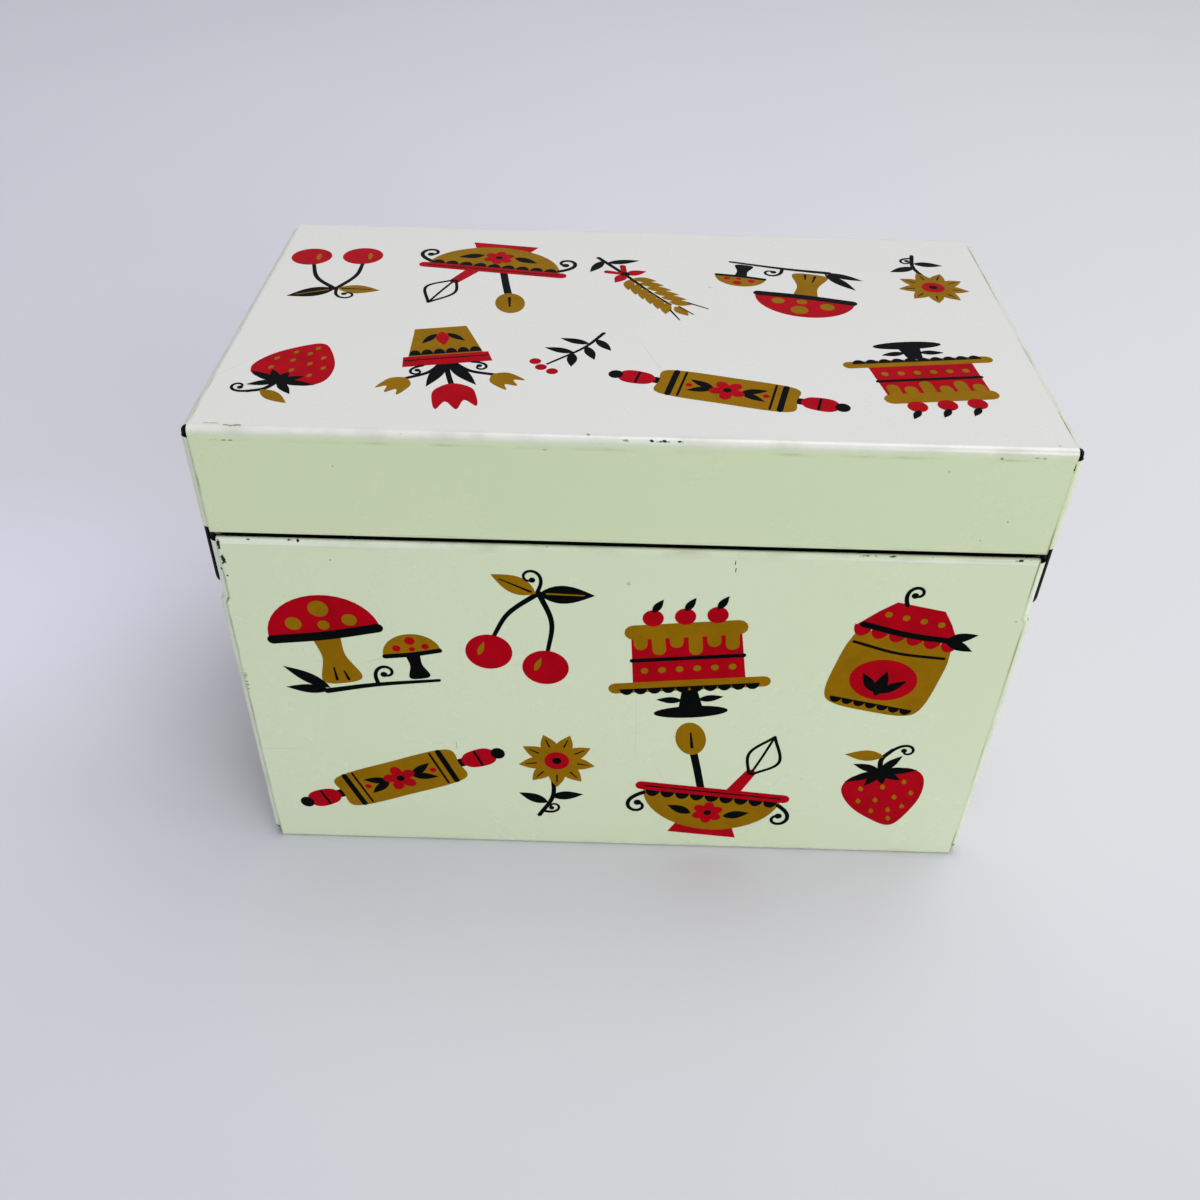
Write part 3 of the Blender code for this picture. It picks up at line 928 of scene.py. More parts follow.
BODY_CHIPS = (
    ((65.2, 39.3, 72.3), (0.70, 0.80, 2.20), 0.64),
    ((65.0, 39.3, 69.0), (1.10, 0.80, 2.30), 0.60),
    ((65.8, 39.1, 66.9), (0.60, 0.60, 0.70), 0.72),
    ((64.9, 39.3, 65.8), (0.36, 0.60, 0.30), 0.85),
    ((66.3, 39.0, 68.9), (0.30, 0.60, 0.26), 0.80),
    ((66.4, 39.0, 68.1), (0.30, 0.60, 0.22), 0.80),
    ((66.5, 39.0, 64.2), (0.34, 0.60, 0.24), 0.76),
    ((66.4, 39.0, 62.7), (0.34, 0.60, 0.24), 0.76),
    ((66.0, 39.1, 60.6), (0.60, 0.60, 0.40), 0.80),
    ((52.4, 39.1, 73.2), (0.50, 0.60, 0.50), 0.80),
    ((-62.4, 39.2, 73.1), (2.20, 0.60, 0.42), 0.56),
    ((-17.3, 39.3, 71.2), (0.16, 0.60, 0.90), 0.80),
    ((-17.5, 39.3, 69.8), (0.16, 0.60, 1.10), 0.80),
    ((66.6, 38.8, 1.2), (0.90, 1.20, 1.20), 0.60),
    ((-66.6, 38.8, 1.2), (0.90, 1.20, 1.20), 0.55),
)
BODY_STAINS = (
    ((-66.8, 38.6, 60.6), (0.40, 0.90, 0.80), 0.70),
    ((-64.6, 39.3, 60.6), (0.36, 0.50, 0.26), 0.75),
    ((-66.8, 38.6, 54.0), (0.36, 0.60, 0.36), 0.70),
    ((47.7, 39.3, 69.6), (0.30, 0.50, 0.30), 0.70),
    ((13.6, 39.3, 28.9), (0.22, 0.50, 0.22), 0.90),
    ((29.9, 39.3, 27.5), (0.14, 0.50, 3.60), 0.56),
    ((30.2, 39.3, 22.0), (0.14, 0.50, 3.40), 0.56),
    ((65.9, 39.3, 43.0), (1.00, 0.60, 9.00), 0.46),
)

# Sizes of the finish and of its painted highlights, in metres: drops are below the top, the rim or the
# lid's edge

WHITE_RUN = 0.0018
WHITE_INSET = 0.0013
HEM_LINE_RISE = 0.00145
FOLD_LINE_DROP = 0.0019
LIP_LINE_DROP = 0.00078
LIP_BAND_DROPS = (0.0011, 0.0008)
SHOULDER_DROPS = (0.0020, 0.0008)
NECK_STEP = 0.00065
WALL_SLACK = 0.0005
BEND_REACH = (0.0011, 0.0021)
FILM_REACH = 0.0020
RUB_REACH = 0.0008
SEAM_SPREAD = 0.00034
SCRATCH_WIDTH = 0.00007
EAR_DEPTHS = (0.0335, 0.0360)
HEAD_RING = (0.0014, 0.0027)

# How much of each kind of wear shows, and how strong the painted highlight on the end bends is, from none
# at 0 to all of it at 1

FILM = 0.26
SPECKS = 0.45
SEAM_AND_STAIN = 0.85
SCRATCH_TINT = 0.22
SCRATCH_DEPTH = 0.2
RUBBED = 0.48
BEND_HIGHLIGHT_LEFT, BEND_HIGHLIGHT_RIGHT = 0.12, 0.6

# Texture scales, in waves or cells a metre

SHADES = 15.0
CLOUDS = 150.0
CHIP_GRAIN = 1900.0
RUB_GRAIN = 850.0
SCRATCH_CELLS = 45.0
FLECK_CELLS = 150.0
SMEARS = 60.0
NECK_STREAKS = 1800.0
STREAK_STRETCH = (1.0, 1.0, 0.12)
ROLLING_STRETCH = (12.0, 900.0, 900.0)

RUST = (0.05, 0.022, 0.010, 1.0)
TARNISH = (0.09, 0.065, 0.045, 1.0)


def joined_marks(wiring, position, ragged, marks):
    """The masks of some marks together."""
    return wiring.most(*[
        wiring.group(
            mark(), Position=position, Centre=Vector(centre) * MM, Reach=Vector(reach) * MM,
            Ragged=ragged, Cover=cover,
        )
        for centre, reach, cover in marks
    ])


def lid_dress(wiring, position, colours, colour):
    """The lid's colour, its dark lines and its seam: white runs down over the two long folds, partly as
    painted highlight on their round.
    """
    across, depth, height = wiring.split(position)
    from_end = wiring.math("SUBTRACT", BOX["half_width"], wiring.math("ABSOLUTE", across))
    inset = wiring.fade(from_end, 0.0, WHITE_INSET)
    # The white reaches over the fold's round and just past it: partly the top's own white, partly a
    # painted highlight
    white_over_fold_and_highlight = wiring.fade(height, BOX["top"] - WHITE_RUN, BOX["top"])
    colour = wiring.mix(wiring.times(inset, white_over_fold_and_highlight), colour, colours.white)
    # Darker lines across the back skirt: one just above the hem's round, one just below the top fold
    at_hem = wiring.line(height, BOX["rim"] + HEM_LINE_RISE, 0.00004, 0.00022, 0.30)
    at_fold = wiring.line(height, BOX["top"] - FOLD_LINE_DROP, 0.00005, 0.00040, 0.34)
    at_back = wiring.math("GREATER_THAN", depth, BOX["half_depth"] - WALL_SLACK)
    return colour, wiring.times(wiring.most(at_hem, at_fold), at_back), BOX["wall_half"]


def body_dress(wiring, position, colours, colour):
    """The body's colour, its dark line and its seam: painted highlight along the rim and in streaks on the
    neck, painted shade just under the rim.
    """
    across, _, height = wiring.split(position)
    from_middle = wiring.math("ABSOLUTE", across)
    rim, lid_edge = BOX["rim"], BOX["lid_edge"]
    # Painted highlight: a pale line and band just under the rim, stronger towards the ends
    outer = wiring.fade(from_middle, 0.015, 0.055, 0.12, 0.8)
    lip = wiring.times(wiring.line(height, rim - LIP_LINE_DROP, 0.00018, 0.00042), outer)
    over_lip = wiring.fade(height, *[rim - drop for drop in LIP_BAND_DROPS])
    band = wiring.times(over_lip, wiring.fade(across, 0.005, 0.050, 0.0, 0.75))
    colour = wiring.mix(wiring.most(lip, band), colour, colours.pale_highlight)
    stepped = wiring.fade(height, *[lid_edge - drop for drop in SHOULDER_DROPS], 0.0, NECK_STEP)
    seam = wiring.math("SUBTRACT", BOX["wall_half"], stepped)
    # Painted highlight on the neck's corner bends, broken into pale upright streaks
    streaks = wiring.noise(wiring.stretched(position, STREAK_STRETCH), NECK_STREAKS, 3.0)
    neck_highlight_streaks = wiring.fade(streaks, 0.40, 0.66, 0.0, 0.75)
    past_seam = wiring.math("GREATER_THAN", from_middle, seam)
    on_neck = wiring.times(past_seam, wiring.math("GREATER_THAN", height, lid_edge))
    colour = wiring.mix(wiring.times(neck_highlight_streaks, on_neck), colour, colours.pale_highlight)
    # Painted shade: a dark line just under the rim, in the gap below the lid's skirt
    under_rim_shade = wiring.fade(wiring.math("SUBTRACT", rim, height), 0.00010, 0.00045, 0.22, 0.0)
    return colour, under_rim_shade, seam


def bend_highlight(wiring, position, seam):
    """Painted highlight: the enamel painted pale round the end panels' bends, more at the right end."""
    across, depth, _ = wiring.split(position)
    from_side = wiring.math("SUBTRACT", BOX["half_depth"], wiring.math("ABSOLUTE", depth))
    beyond_seam = wiring.math("GREATER_THAN", wiring.math("ABSOLUTE", across), seam)
    on_bend = wiring.times(beyond_seam, wiring.fade(from_side, *BEND_REACH, 1.0, 0.0))
    return wiring.times(on_bend, wiring.fade(across, -0.02, 0.02, BEND_HIGHLIGHT_LEFT, BEND_HIGHLIGHT_RIGHT))


def settled_dirt_and_shade(wiring, position, distance, line, seam, stained):
    """A film near the folds, specks, the dark lines (painted shade under the body's rim, darker lines on
    the lid's back skirt), dirty seams and stains together.
    """
    near = wiring.fade(distance, 0.0, FILM_REACH, 1.0, 0.0)
    cloudy = wiring.fade(wiring.noise(position, CLOUDS, 4.0), 0.42, 0.72)
    flecks = wiring.group(specks(), Position=position, Scale=FLECK_CELLS, Size=0.042)
    in_seam = wiring.group(seam_dirt(), Position=position, Seam=seam, Spread=SEAM_SPREAD)
    return wiring.most(
        wiring.times(near, cloudy, FILM), wiring.times(flecks, SPECKS), wiring.times(line, cloudy),
        wiring.times(in_seam, SEAM_AND_STAIN), wiring.times(stained, SEAM_AND_STAIN),
    )


def scratches(wiring, position):
    """Hairlines of the size that the enamel and its inks share."""
    return wiring.group(hairlines(), Position=position, Scale=SCRATCH_CELLS, Width=SCRATCH_WIDTH)


def put_skin(wiring, position, shader, dents):
    """Give a shader the enamel's skin, with some marks sunk in it."""
    skin = wiring.group(enamel_skin(), Position=position, Ripple=0.10, Peel=0.05, Marks=dents)
    wiring.put(shader.inputs["Normal"], skin)


def enamel(name, colours, green, low, high, chips, stains, dress):
    """Glossy enamel over steel, chipped and rubbed along the folds and dirty in the seams, with painted
    highlights on the rim and the end bends and painted shade under the rim.
    """
    material, shader, wiring, position = new_material(name)
    shade = wiring.noise(position, SHADES, 2.0)
    colour = wiring.mix(wiring.fade(shade, 0.35, 0.65), green, pale(green, 0.035))
    colour, line, seam = dress(wiring, position, colours, colour)
    # Painted highlight on the end panels' bends
    colour = wiring.mix(bend_highlight(wiring, position, seam), colour, colours.pale_highlight)
    half = (BOX["half_width"], BOX["half_depth"], 0.0)
    distance = wiring.group(fold_distance(), Position=position, Half=half, Low=low, High=high)
    ragged = wiring.noise(position, CHIP_GRAIN, 5.0, 0.65)
    stained = joined_marks(wiring, position, ragged, stains)
    # This mask holds real dirt and also the painted shade under the body's rim
    dirt = settled_dirt_and_shade(wiring, position, distance, line, seam, stained)
    colour = wiring.mix(dirt, colour, colours.grime_and_shade)
    rubbed = wiring.group(
        rubbed_edge(), Position=position, Distance=distance, Reach=RUB_REACH, Amount=RUBBED,
        Scale=RUB_GRAIN,
    )
    bared = wiring.most(rubbed, joined_marks(wiring, position, ragged, chips))
    lines = scratches(wiring, position)
    colour = wiring.mix(wiring.times(lines, SCRATCH_TINT), colour, colours.grime_and_shade)
    wiring.put(shader.inputs["Base Color"], wiring.mix(bared, colour, colours.bare))
    smear = wiring.fade(wiring.noise(position, SMEARS, 5.0, 0.6), 0.35, 0.75, 0.22, 0.32)
    dull = wiring.math("ADD", smear, wiring.times(dirt, 0.35), clamp=True)
    wiring.put(shader.inputs["Roughness"], wiring.most(dull, wiring.times(bared, 0.62)))
    wiring.put(shader.inputs["Metallic"], wiring.times(bared, 0.45))
    wiring.put(shader.inputs["Coat Weight"], wiring.times(wiring.math("SUBTRACT", 1.0, bared), 0.35))
    shader.inputs["Coat Roughness"].default_value = 0.12
    shader.inputs["IOR"].default_value = 1.5
    put_skin(wiring, position, shader, wiring.most(bared, wiring.times(lines, SCRATCH_DEPTH)))
    return material


def ear_shade_and_bare_steel(wiring, position):
    """The lid's ears behind the neck, painted dark: bare sheet there, and painted shade of the gap between
    ear and neck.
    """
    x, y, z = wiring.split(position)
    end = BOX["half_width"]
    outer = wiring.fade(wiring.math("ABSOLUTE", x), end - 0.0006, end - 0.0004)
    over_shoulder = wiring.fade(z, BOX["lid_edge"] - 0.0004, BOX["lid_edge"])
    under_skirt = wiring.fade(z, BOX["rim"], BOX["rim"] + 0.0030, 1.0, 0.0)
    return wiring.times(outer, wiring.fade(y, *EAR_DEPTHS), over_shoulder, under_skirt)


def tin_inside(colours):
    """Plain tinplate with its rolling grain and water stains, darkened inside the ears with bare steel and
    painted shade.
    """
    material, shader, wiring, position = new_material("tinplate_inside")
    grain = wiring.noise(wiring.stretched(position, ROLLING_STRETCH), 1.0, 3.0)
    stain = wiring.fade(wiring.noise(position, 45.0, 5.0, 0.6), 0.54, 0.74)
    # Painted shade inside the ears, with bare steel: the gap between ear and neck
    ear = ear_shade_and_bare_steel(wiring, position)
    tin = wiring.mix(grain, colours.tin, pale(colours.tin, 0.16))
    tin = wiring.mix(wiring.times(stain, 0.4), tin, colours.grime_and_shade)
    wiring.put(shader.inputs["Base Color"], wiring.mix(ear, tin, colours.bare))
    dull = wiring.most(wiring.times(stain, 0.3), wiring.times(ear, 0.5))
    wiring.put(shader.inputs["Metallic"], wiring.math("SUBTRACT", 0.95, dull))
    smooth = wiring.fade(grain, 0.3, 0.7, 0.30, 0.42)
    wiring.put(shader.inputs["Roughness"], wiring.most(smooth, wiring.times(ear, 0.6)))
    wiring.put(shader.inputs["Normal"], wiring.bump(grain, 0.25, 0.00004))
    return material


def cut_edge(colours):
    """Sheared steel at the sheets' raw edges, darkened with age."""
    material, shader, wiring, position = new_material("sheared_edge")
    grain = wiring.noise(position, 2600.0, 3.0)
    rust = wiring.fade(wiring.noise(position, 500.0, 4.0), 0.55, 0.75)
    steel = wiring.mix(grain, colours.bare, pale(colours.bare, 0.025))
    rusted = wiring.mix(wiring.times(rust, 0.5), steel, RUST)
    wiring.put(shader.inputs["Base Color"], rusted)
    wiring.put(shader.inputs["Metallic"], wiring.math("SUBTRACT", 0.6, wiring.times(rust, 0.4)))
    shader.inputs["Specular IOR Level"].default_value = 0.2
    wiring.put(shader.inputs["Roughness"], wiring.fade(grain, 0.3, 0.7, 0.42, 0.62))
    wiring.put(shader.inputs["Normal"], wiring.bump(grain, 0.4, 0.00002))
    return material


def rivet_steel(colours):
    """Tumbled steel with a dull face and a darker edge."""
    material, shader, wiring, position = new_material("rivet_steel")
    _, y, z = wiring.split(position)
    across = wiring.math("SUBTRACT", y, BOX["pivot_y"])
    up = wiring.math("SUBTRACT", z, BOX["pivot_z"])
    squares = wiring.math("ADD", wiring.math("POWER", across, 2.0), wiring.math("POWER", up, 2.0))
    radius = wiring.math("SQRT", squares)
    grain = wiring.noise(position, 3200.0, 4.0)
    edge = wiring.times(wiring.fade(radius, *HEAD_RING), wiring.fade(grain, 0.35, 0.65))
    steel = wiring.mix(grain, colours.rivet, pale(colours.rivet, 0.18))
    wiring.put(shader.inputs["Base Color"], wiring.mix(wiring.times(edge, 0.7), steel, TARNISH))
    shader.inputs["Metallic"].default_value = 0.9
    wiring.put(shader.inputs["Roughness"], wiring.fade(grain, 0.3, 0.7, 0.30, 0.50))
    wiring.put(shader.inputs["Normal"], wiring.bump(grain, 0.3, 0.00003))
    return material


def ink(name, colour, mottle):
    """Litho ink under varnish, slightly uneven, with the enamel's own skin."""
    material, shader, wiring, position = new_material(name)
    patch = wiring.noise(position, 240.0, 4.0, 0.6)
    grain = wiring.noise(position, 2400.0, 2.0)
    tone = wiring.mix(wiring.fade(patch, 0.35, 0.70), colour, deep(colour, mottle))
    flaws = wiring.fade(grain, 0.72, 0.82)
    tone = wiring.mix(wiring.times(flaws, 0.20), tone, pale(colour, 0.03))
    wiring.put(shader.inputs["Base Color"], tone)
    wiring.put(shader.inputs["Roughness"], wiring.fade(patch, 0.35, 0.75, 0.26, 0.36))
    shader.inputs["Specular IOR Level"].default_value = 0.02
    put_skin(wiring, position, shader, wiring.times(scratches(wiring, position), SCRATCH_DEPTH))
    return material


def shared_material(name, make, *settings):
    """A material that is made once and then found by name."""
    return bpy.data.materials.get(name) or make(*settings)


def sheet_materials(printed, colours):
    """A sheet's finishes: printed outside, plain inside and sheared along its cut edges."""
    tin = shared_material("tinplate_inside", tin_inside, colours)
    edge = shared_material("sheared_edge", cut_edge, colours)
    return [printed, tin, edge]


# Ornament: flat ink shapes in millimetres round each motif's middle, later ones over earlier ones

OCHRE, RED, BLACK = 0, 1, 2


def turned(x, y, across, along, angle):
    """A point given from a middle at x and y, turned about it."""
    return (
        x + across * cos(angle) - along * sin(angle),
        y + across * sin(angle) + along * cos(angle),
    )


def oval(ink_of, x, y, half_width, half_height, turn=0.0, steps=28):
    """An ellipse, turned by some degrees."""
    ring = [2 * pi * step / steps for step in range(steps)]
    return ink_of, [
        turned(x, y, half_width * cos(around), half_height * sin(around), radians(turn))
        for around in ring
    ]


def half_round(x, y, half_width, half_height, start, steps):
    """The points of half an ellipse, from a start angle."""
    turns = [start + pi * step / steps for step in range(steps + 1)]
    return [(x + half_width * cos(turn), y + half_height * sin(turn)) for turn in turns]


def leaf(ink_of, start, end, width, steps=10):
    """A leaf from its stalk to its tip, widest a little before the middle."""
    start, end = Vector(start), Vector(end)
    along = end - start
    across = Vector((-along.y, along.x)).normalized() * width / 2
    sides = []
    for side in (1, -1):
        edge = []
        for step in range(1, steps):
            part = step / steps
            swell = sin(pi * part ** 0.82)
            edge.append(tuple(start + along * part + across * side * swell))
        sides.append(edge)
    return ink_of, [tuple(start)] + sides[1] + [tuple(end)] + sides[0][::-1]


def on_curve(before, here, there, after, part):
    """The point at a share of the way from here to there, on a smooth curve through four points."""
    return 0.5 * (
        2 * here + (there - before) * part
        + (2 * before - 5 * here + 4 * there - after) * part ** 2
        + (3 * here - before - 3 * there + after) * part ** 3
    )


def smooth_line(points, steps=8):
    """A smooth curve through the given points."""
    given = [Vector(point) for point in points]
    padded = [2 * given[0] - given[1]] + given + [2 * given[-1] - given[-2]]
    line = []
    for place in range(1, len(padded) - 2):
        for step in range(steps):
            line.append(on_curve(*padded[place - 1: place + 3], step / steps))
    line.append(given[-1])
    return line


def stroke(ink_of, points, start_width, end_width=None, steps=8):
    """A brush stroke with round ends that may narrow along its way."""
    end_width = start_width if end_width is None else end_width
    line = smooth_line(points, steps)
    last = len(line) - 1
    left, right = [], []
    for place, point in enumerate(line):
        ahead = line[min(place + 1, last)] - line[max(place - 1, 0)]
        across = Vector((-ahead.y, ahead.x)).normalized()
        half = (start_width + (end_width - start_width) * place / last) / 2
        left.append(point + across * half)
        right.append(point - across * half)
    caps = []
    for tip, inner, width in ((line[-1], line[-2], end_width), (line[0], line[1], start_width)):
        facing = tip - inner
        heading = atan2(facing.y, facing.x)
        caps.append([
            tip + Vector((cos(heading + turn), sin(heading + turn))) * width / 2
            for turn in (-pi / 3, -pi / 6, 0, pi / 6, pi / 3)
        ])
    outline = right + caps[0] + left[::-1] + caps[1]
    return ink_of, [tuple(point) for point in outline]


def shape(ink_of, points, steps=6):
    """A closed shape, smooth through the given points."""
    count = len(points)
    given = [Vector(point) for point in points]
    outline = []
    for place in range(count):
        corners = [given[(place + shift) % count] for shift in (-1, 0, 1, 2)]
        for step in range(steps):
            outline.append(tuple(on_curve(*corners, step / steps)))
    return ink_of, outline


def polygon(ink_of, points):
    """A closed shape with straight sides."""
    return ink_of, list(points)


def scallops(ink_of, left, right, count, drop):
    """A row of hanging half rounds between two points at one height."""
    (x0, y), (x1, _) = left, right
    pitch = (x1 - x0) / count
    shapes = []
    for place in range(count):
        centre = x0 + pitch * (place + 0.5)
        shapes.append(polygon(ink_of, half_round(centre, y, pitch * 0.5, -drop, 0.0, 10)))
    return shapes


def flower(ink_of, x, y, reach, petals, heart):
    """Round petals about a heart of another ink."""
    shapes = []
    for place in range(petals):
        turn = 2 * pi * place / petals + pi / 2
        shapes.append(oval(
            ink_of, x + reach * 0.60 * cos(turn), y + reach * 0.60 * sin(turn),
            reach * 0.42, reach * 0.34, place * 360 / petals + 90, 16,
        ))
    shapes.append(oval(ink_of, x, y, reach * 0.42, reach * 0.42, 0, 16))
    shapes.append(oval(heart, x, y, reach * 0.24, reach * 0.24, 0, 14))
    return shapes


def tendril(ink_of, x, y, length, heading, hand=1, width=0.75):
    """A tendril that rolls up towards its end, with a round bud there."""
    steps = 18
    points = [(x, y)]
    for step in range(steps):
        part = (step + 0.5) / steps
        angle = radians(heading) + hand * 2 * pi * 0.92 * part ** 2
        x += length / steps * cos(angle)
        y += length / steps * sin(angle)
        points.append((x, y))
    bud = oval(ink_of, x, y, width * 0.8, width * 0.8, 0, 14)
    return [stroke(ink_of, points, width, width * 0.6, 3), bud]


def dots(ink_of, start, end, count, radius):
    """A straight row of round dots."""
    start, end = Vector(start), Vector(end)
    places = [start.lerp(end, place / (count - 1)) for place in range(count)]
    return [oval(ink_of, place.x, place.y, radius, radius, 0, 12) for place in places]


def mixing_bowl():
    return [
        polygon(RED, [(-4.6, -8.0), (4.6, -8.0), (5.6, -10.4), (-5.6, -10.4)]),
        stroke(BLACK, [(-2.0, 0.5), (-3.4, 5.0), (-4.6, 8.6)], 1.2),
        oval(OCHRE, -5.5, 11.4, 2.3, 3.5, 16),
        stroke(BLACK, [(-5.0, 9.6), (-5.7, 12.6)], 0.5, 0.3),
        stroke(RED, [(3.0, 0.4), (4.9, 5.2)], 2.2, 1.7),
        stroke(BLACK, [(4.7, 5.0), (3.9, 9.6), (7.0, 13.6)], 0.5),
        stroke(BLACK, [(5.0, 5.0), (6.0, 9.0), (7.0, 13.6)], 0.4),
        stroke(BLACK, [(5.3, 5.0), (8.8, 8.2), (7.0, 13.6)], 0.5),
        polygon(OCHRE, half_round(0.0, 0.0, 11.0, 9.0, pi, 22)),
        *scallops(BLACK, (-10.6, -0.6), (10.6, -0.6), 9, 1.7),
        stroke(RED, [(-11.4, 0.0), (11.4, 0.0)], 1.8),
        stroke(BLACK, [(-10.8, 0.0), (10.8, 0.0)], 0.3),
        *flower(RED, 0.0, -4.9, 2.5, 6, BLACK),
        leaf(BLACK, (-2.6, -5.4), (-6.6, -4.0), 1.7),
        leaf(BLACK, (2.6, -5.4), (6.6, -4.0), 1.7),
        *tendril(BLACK, 10.8, -1.6, 9.0, -35, -1),
        *tendril(BLACK, -10.8, -1.6, 9.0, 215, 1),
    ]


def rolling_pin():
    shapes = []
    for side in (-1, 1):
        shapes.append(stroke(BLACK, [(side * 8.6, 0.0), (side * 11.0, 0.0)], 1.7))
        shapes.append(shape(RED, [
            (side * 10.4, 0.0), (side * 11.4, 1.5), (side * 14.2, 1.8), (side * 15.6, 0.9),
            (side * 15.6, -0.9), (side * 14.2, -1.8), (side * 11.4, -1.5),
        ]))
        shapes.append(stroke(BLACK, [(side * 13.0, -1.5), (side * 13.0, 1.5)], 0.4))
        shapes.append(oval(BLACK, side * 16.2, 0.0, 1.05, 1.15))
    shapes.append(shape(OCHRE, [
        (-9.2, 3.4), (0.0, 3.8), (9.2, 3.4), (9.8, 0.0), (9.2, -3.4), (0.0, -3.8), (-9.2, -3.4),
        (-9.8, 0.0),
    ]))
    for side in (-1, 1):
        shapes.append(stroke(BLACK, [(side * 7.9, -3.3), (side * 7.9, 3.3)], 0.9))
        shapes.append(stroke(BLACK, [(side * 6.5, -3.4), (side * 6.5, 3.4)], 0.35))
        shapes.append(leaf(BLACK, (side * 1.9, 0.0), (side * 5.6, 1.6), 1.4))
        shapes.append(leaf(BLACK, (side * 1.9, 0.0), (side * 5.6, -1.6), 1.4))
        shapes.append(oval(RED, side * 5.5, 0.0, 0.5, 0.5, 0, 12))
    return shapes + flower(RED, 0.0, 0.0, 2.6, 5, BLACK)


def tulip_head(ink_of, x, y, size, turn=0.0):
    """An open tulip, turned by some degrees."""
    outline = [
        (0.0, -3.2), (-2.6, -1.6), (-3.1, 1.2), (-2.8, 3.6), (-1.3, 1.7), (0.0, 4.1), (1.3, 1.7),
        (2.8, 3.6), (3.1, 1.2), (2.6, -1.6),
    ]
    return shape(ink_of, [
        turned(x, y, size * across, size * up, radians(turn)) for across, up in outline
    ], 4)


def tulip_pot():
    return [
        stroke(BLACK, [(0.0, -1.0), (0.2, 3.0), (0.0, 7.0)], 0.8),
        stroke(BLACK, [(-0.4, -0.6), (-2.8, 3.0), (-6.2, 4.8)], 0.7),
        stroke(BLACK, [(0.4, -0.6), (2.8, 2.6), (6.4, 4.0)], 0.7),
        leaf(BLACK, (-0.2, 0.2), (-3.4, 7.4), 2.0),
        leaf(BLACK, (0.2, 0.0), (3.6, 6.8), 2.0),
        tulip_head(RED, 0.0, 9.6, 1.0),
        tulip_head(OCHRE, -7.4, 6.4, 0.66, 38),
        tulip_head(OCHRE, 7.6, 5.4, 0.66, -42),
        polygon(OCHRE, [(-5.6, -1.4), (5.6, -1.4), (3.9, -11.0), (-3.9, -11.0)]),
        *scallops(BLACK, (-5.3, -2.6), (5.3, -2.6), 6, 1.6),
        polygon(RED, [(-6.5, 0.6), (6.5, 0.6), (6.2, -2.3), (-6.2, -2.3)]),
        leaf(RED, (0.0, -9.6), (0.0, -5.2), 2.0),
        leaf(BLACK, (-0.8, -9.0), (-3.2, -6.2), 1.2),
        leaf(BLACK, (0.8, -9.0), (3.2, -6.2), 1.2),
        stroke(BLACK, [(-6.0, -1.2), (6.0, -1.2)], 0.3),
        *tendril(BLACK, -3.6, 0.6, 5.4, 165, -1, 0.5),
        *tendril(BLACK, 3.6, 0.6, 5.4, 15, 1, 0.5),
    ]


def mushroom(x, y, size, cap, spots):
    """One mushroom, with inks for its cap and its spots."""
    shapes = [
        shape(OCHRE if cap == RED else BLACK, [
            (x - size * 1.7, y + size * 0.4), (x - size * 1.6, y - size * 4.0),
            (x - size * 2.8, y - size * 8.2), (x, y - size * 9.0), (x + size * 2.8, y - size * 8.2),
            (x + size * 1.6, y - size * 4.0), (x + size * 1.7, y + size * 0.4),
        ]),
        polygon(cap, half_round(x, y, size * 7.6, size * 6.6, 0.0, 20)),
        stroke(BLACK, [(x - size * 7.2, y), (x, y - size * 0.3), (x + size * 7.2, y)], size * 1.5),
    ]
    for across, up, radius in ((-3.6, 2.3, 1.1), (0.4, 4.3, 1.35), (3.9, 1.9, 1.0), (0.3, 1.5, 0.8)):
        spot = size * radius
        shapes.append(oval(spots, x + size * across, y + size * up, spot, spot, 0, 18))
    return shapes


def mushrooms():
    return mushroom(-2.4, 2.6, 1.0, RED, OCHRE) + mushroom(8.2, -2.4, 0.52, OCHRE, RED) + [
        leaf(BLACK, (-4.6, -7.0), (-9.8, -2.2), 1.8),
        leaf(BLACK, (-4.8, -7.4), (-10.6, -6.0), 1.6),
        stroke(BLACK, [(-5.2, -7.5), (2.0, -7.3), (10.6, -7.7)], 0.9, 0.5),
        *tendril(BLACK, 2.2, -7.2, 7.0, 95, -1, 0.6),
        stroke(BLACK, [(-3.2, -5.6), (-3.0, -3.4)], 0.4, 0.2),
        stroke(BLACK, [(-1.6, -5.8), (-1.8, -4.2)], 0.4, 0.2),
    ]


def cherries():
    return [
        stroke(BLACK, [(-4.2, -2.6), (-2.6, 2.6), (1.2, 7.4)], 0.65, 0.9),
        stroke(BLACK, [(4.4, -3.8), (4.0, 2.2), (1.2, 7.4)], 0.65, 0.9),
        leaf(BLACK, (1.2, 7.2), (9.4, 8.6), 3.4),
        leaf(OCHRE, (0.8, 7.2), (-6.2, 9.4), 3.2),
        stroke(BLACK, [(0.0, 7.4), (-4.8, 8.8)], 0.4, 0.2),
        oval(RED, -4.4, -5.6, 3.6, 3.5),
        oval(RED, 4.6, -7.0, 3.6, 3.5),
        leaf(OCHRE, (-5.9, -6.6), (-5.4, -3.7), 0.9),
        leaf(OCHRE, (3.1, -8.0), (3.6, -5.1), 0.9),
        stroke(OCHRE, [(2.4, 7.5), (7.8, 8.3)], 0.3, 0.2),
        *tendril(BLACK, 1.0, 7.6, 8.0, 78, 1, 0.6),
    ]


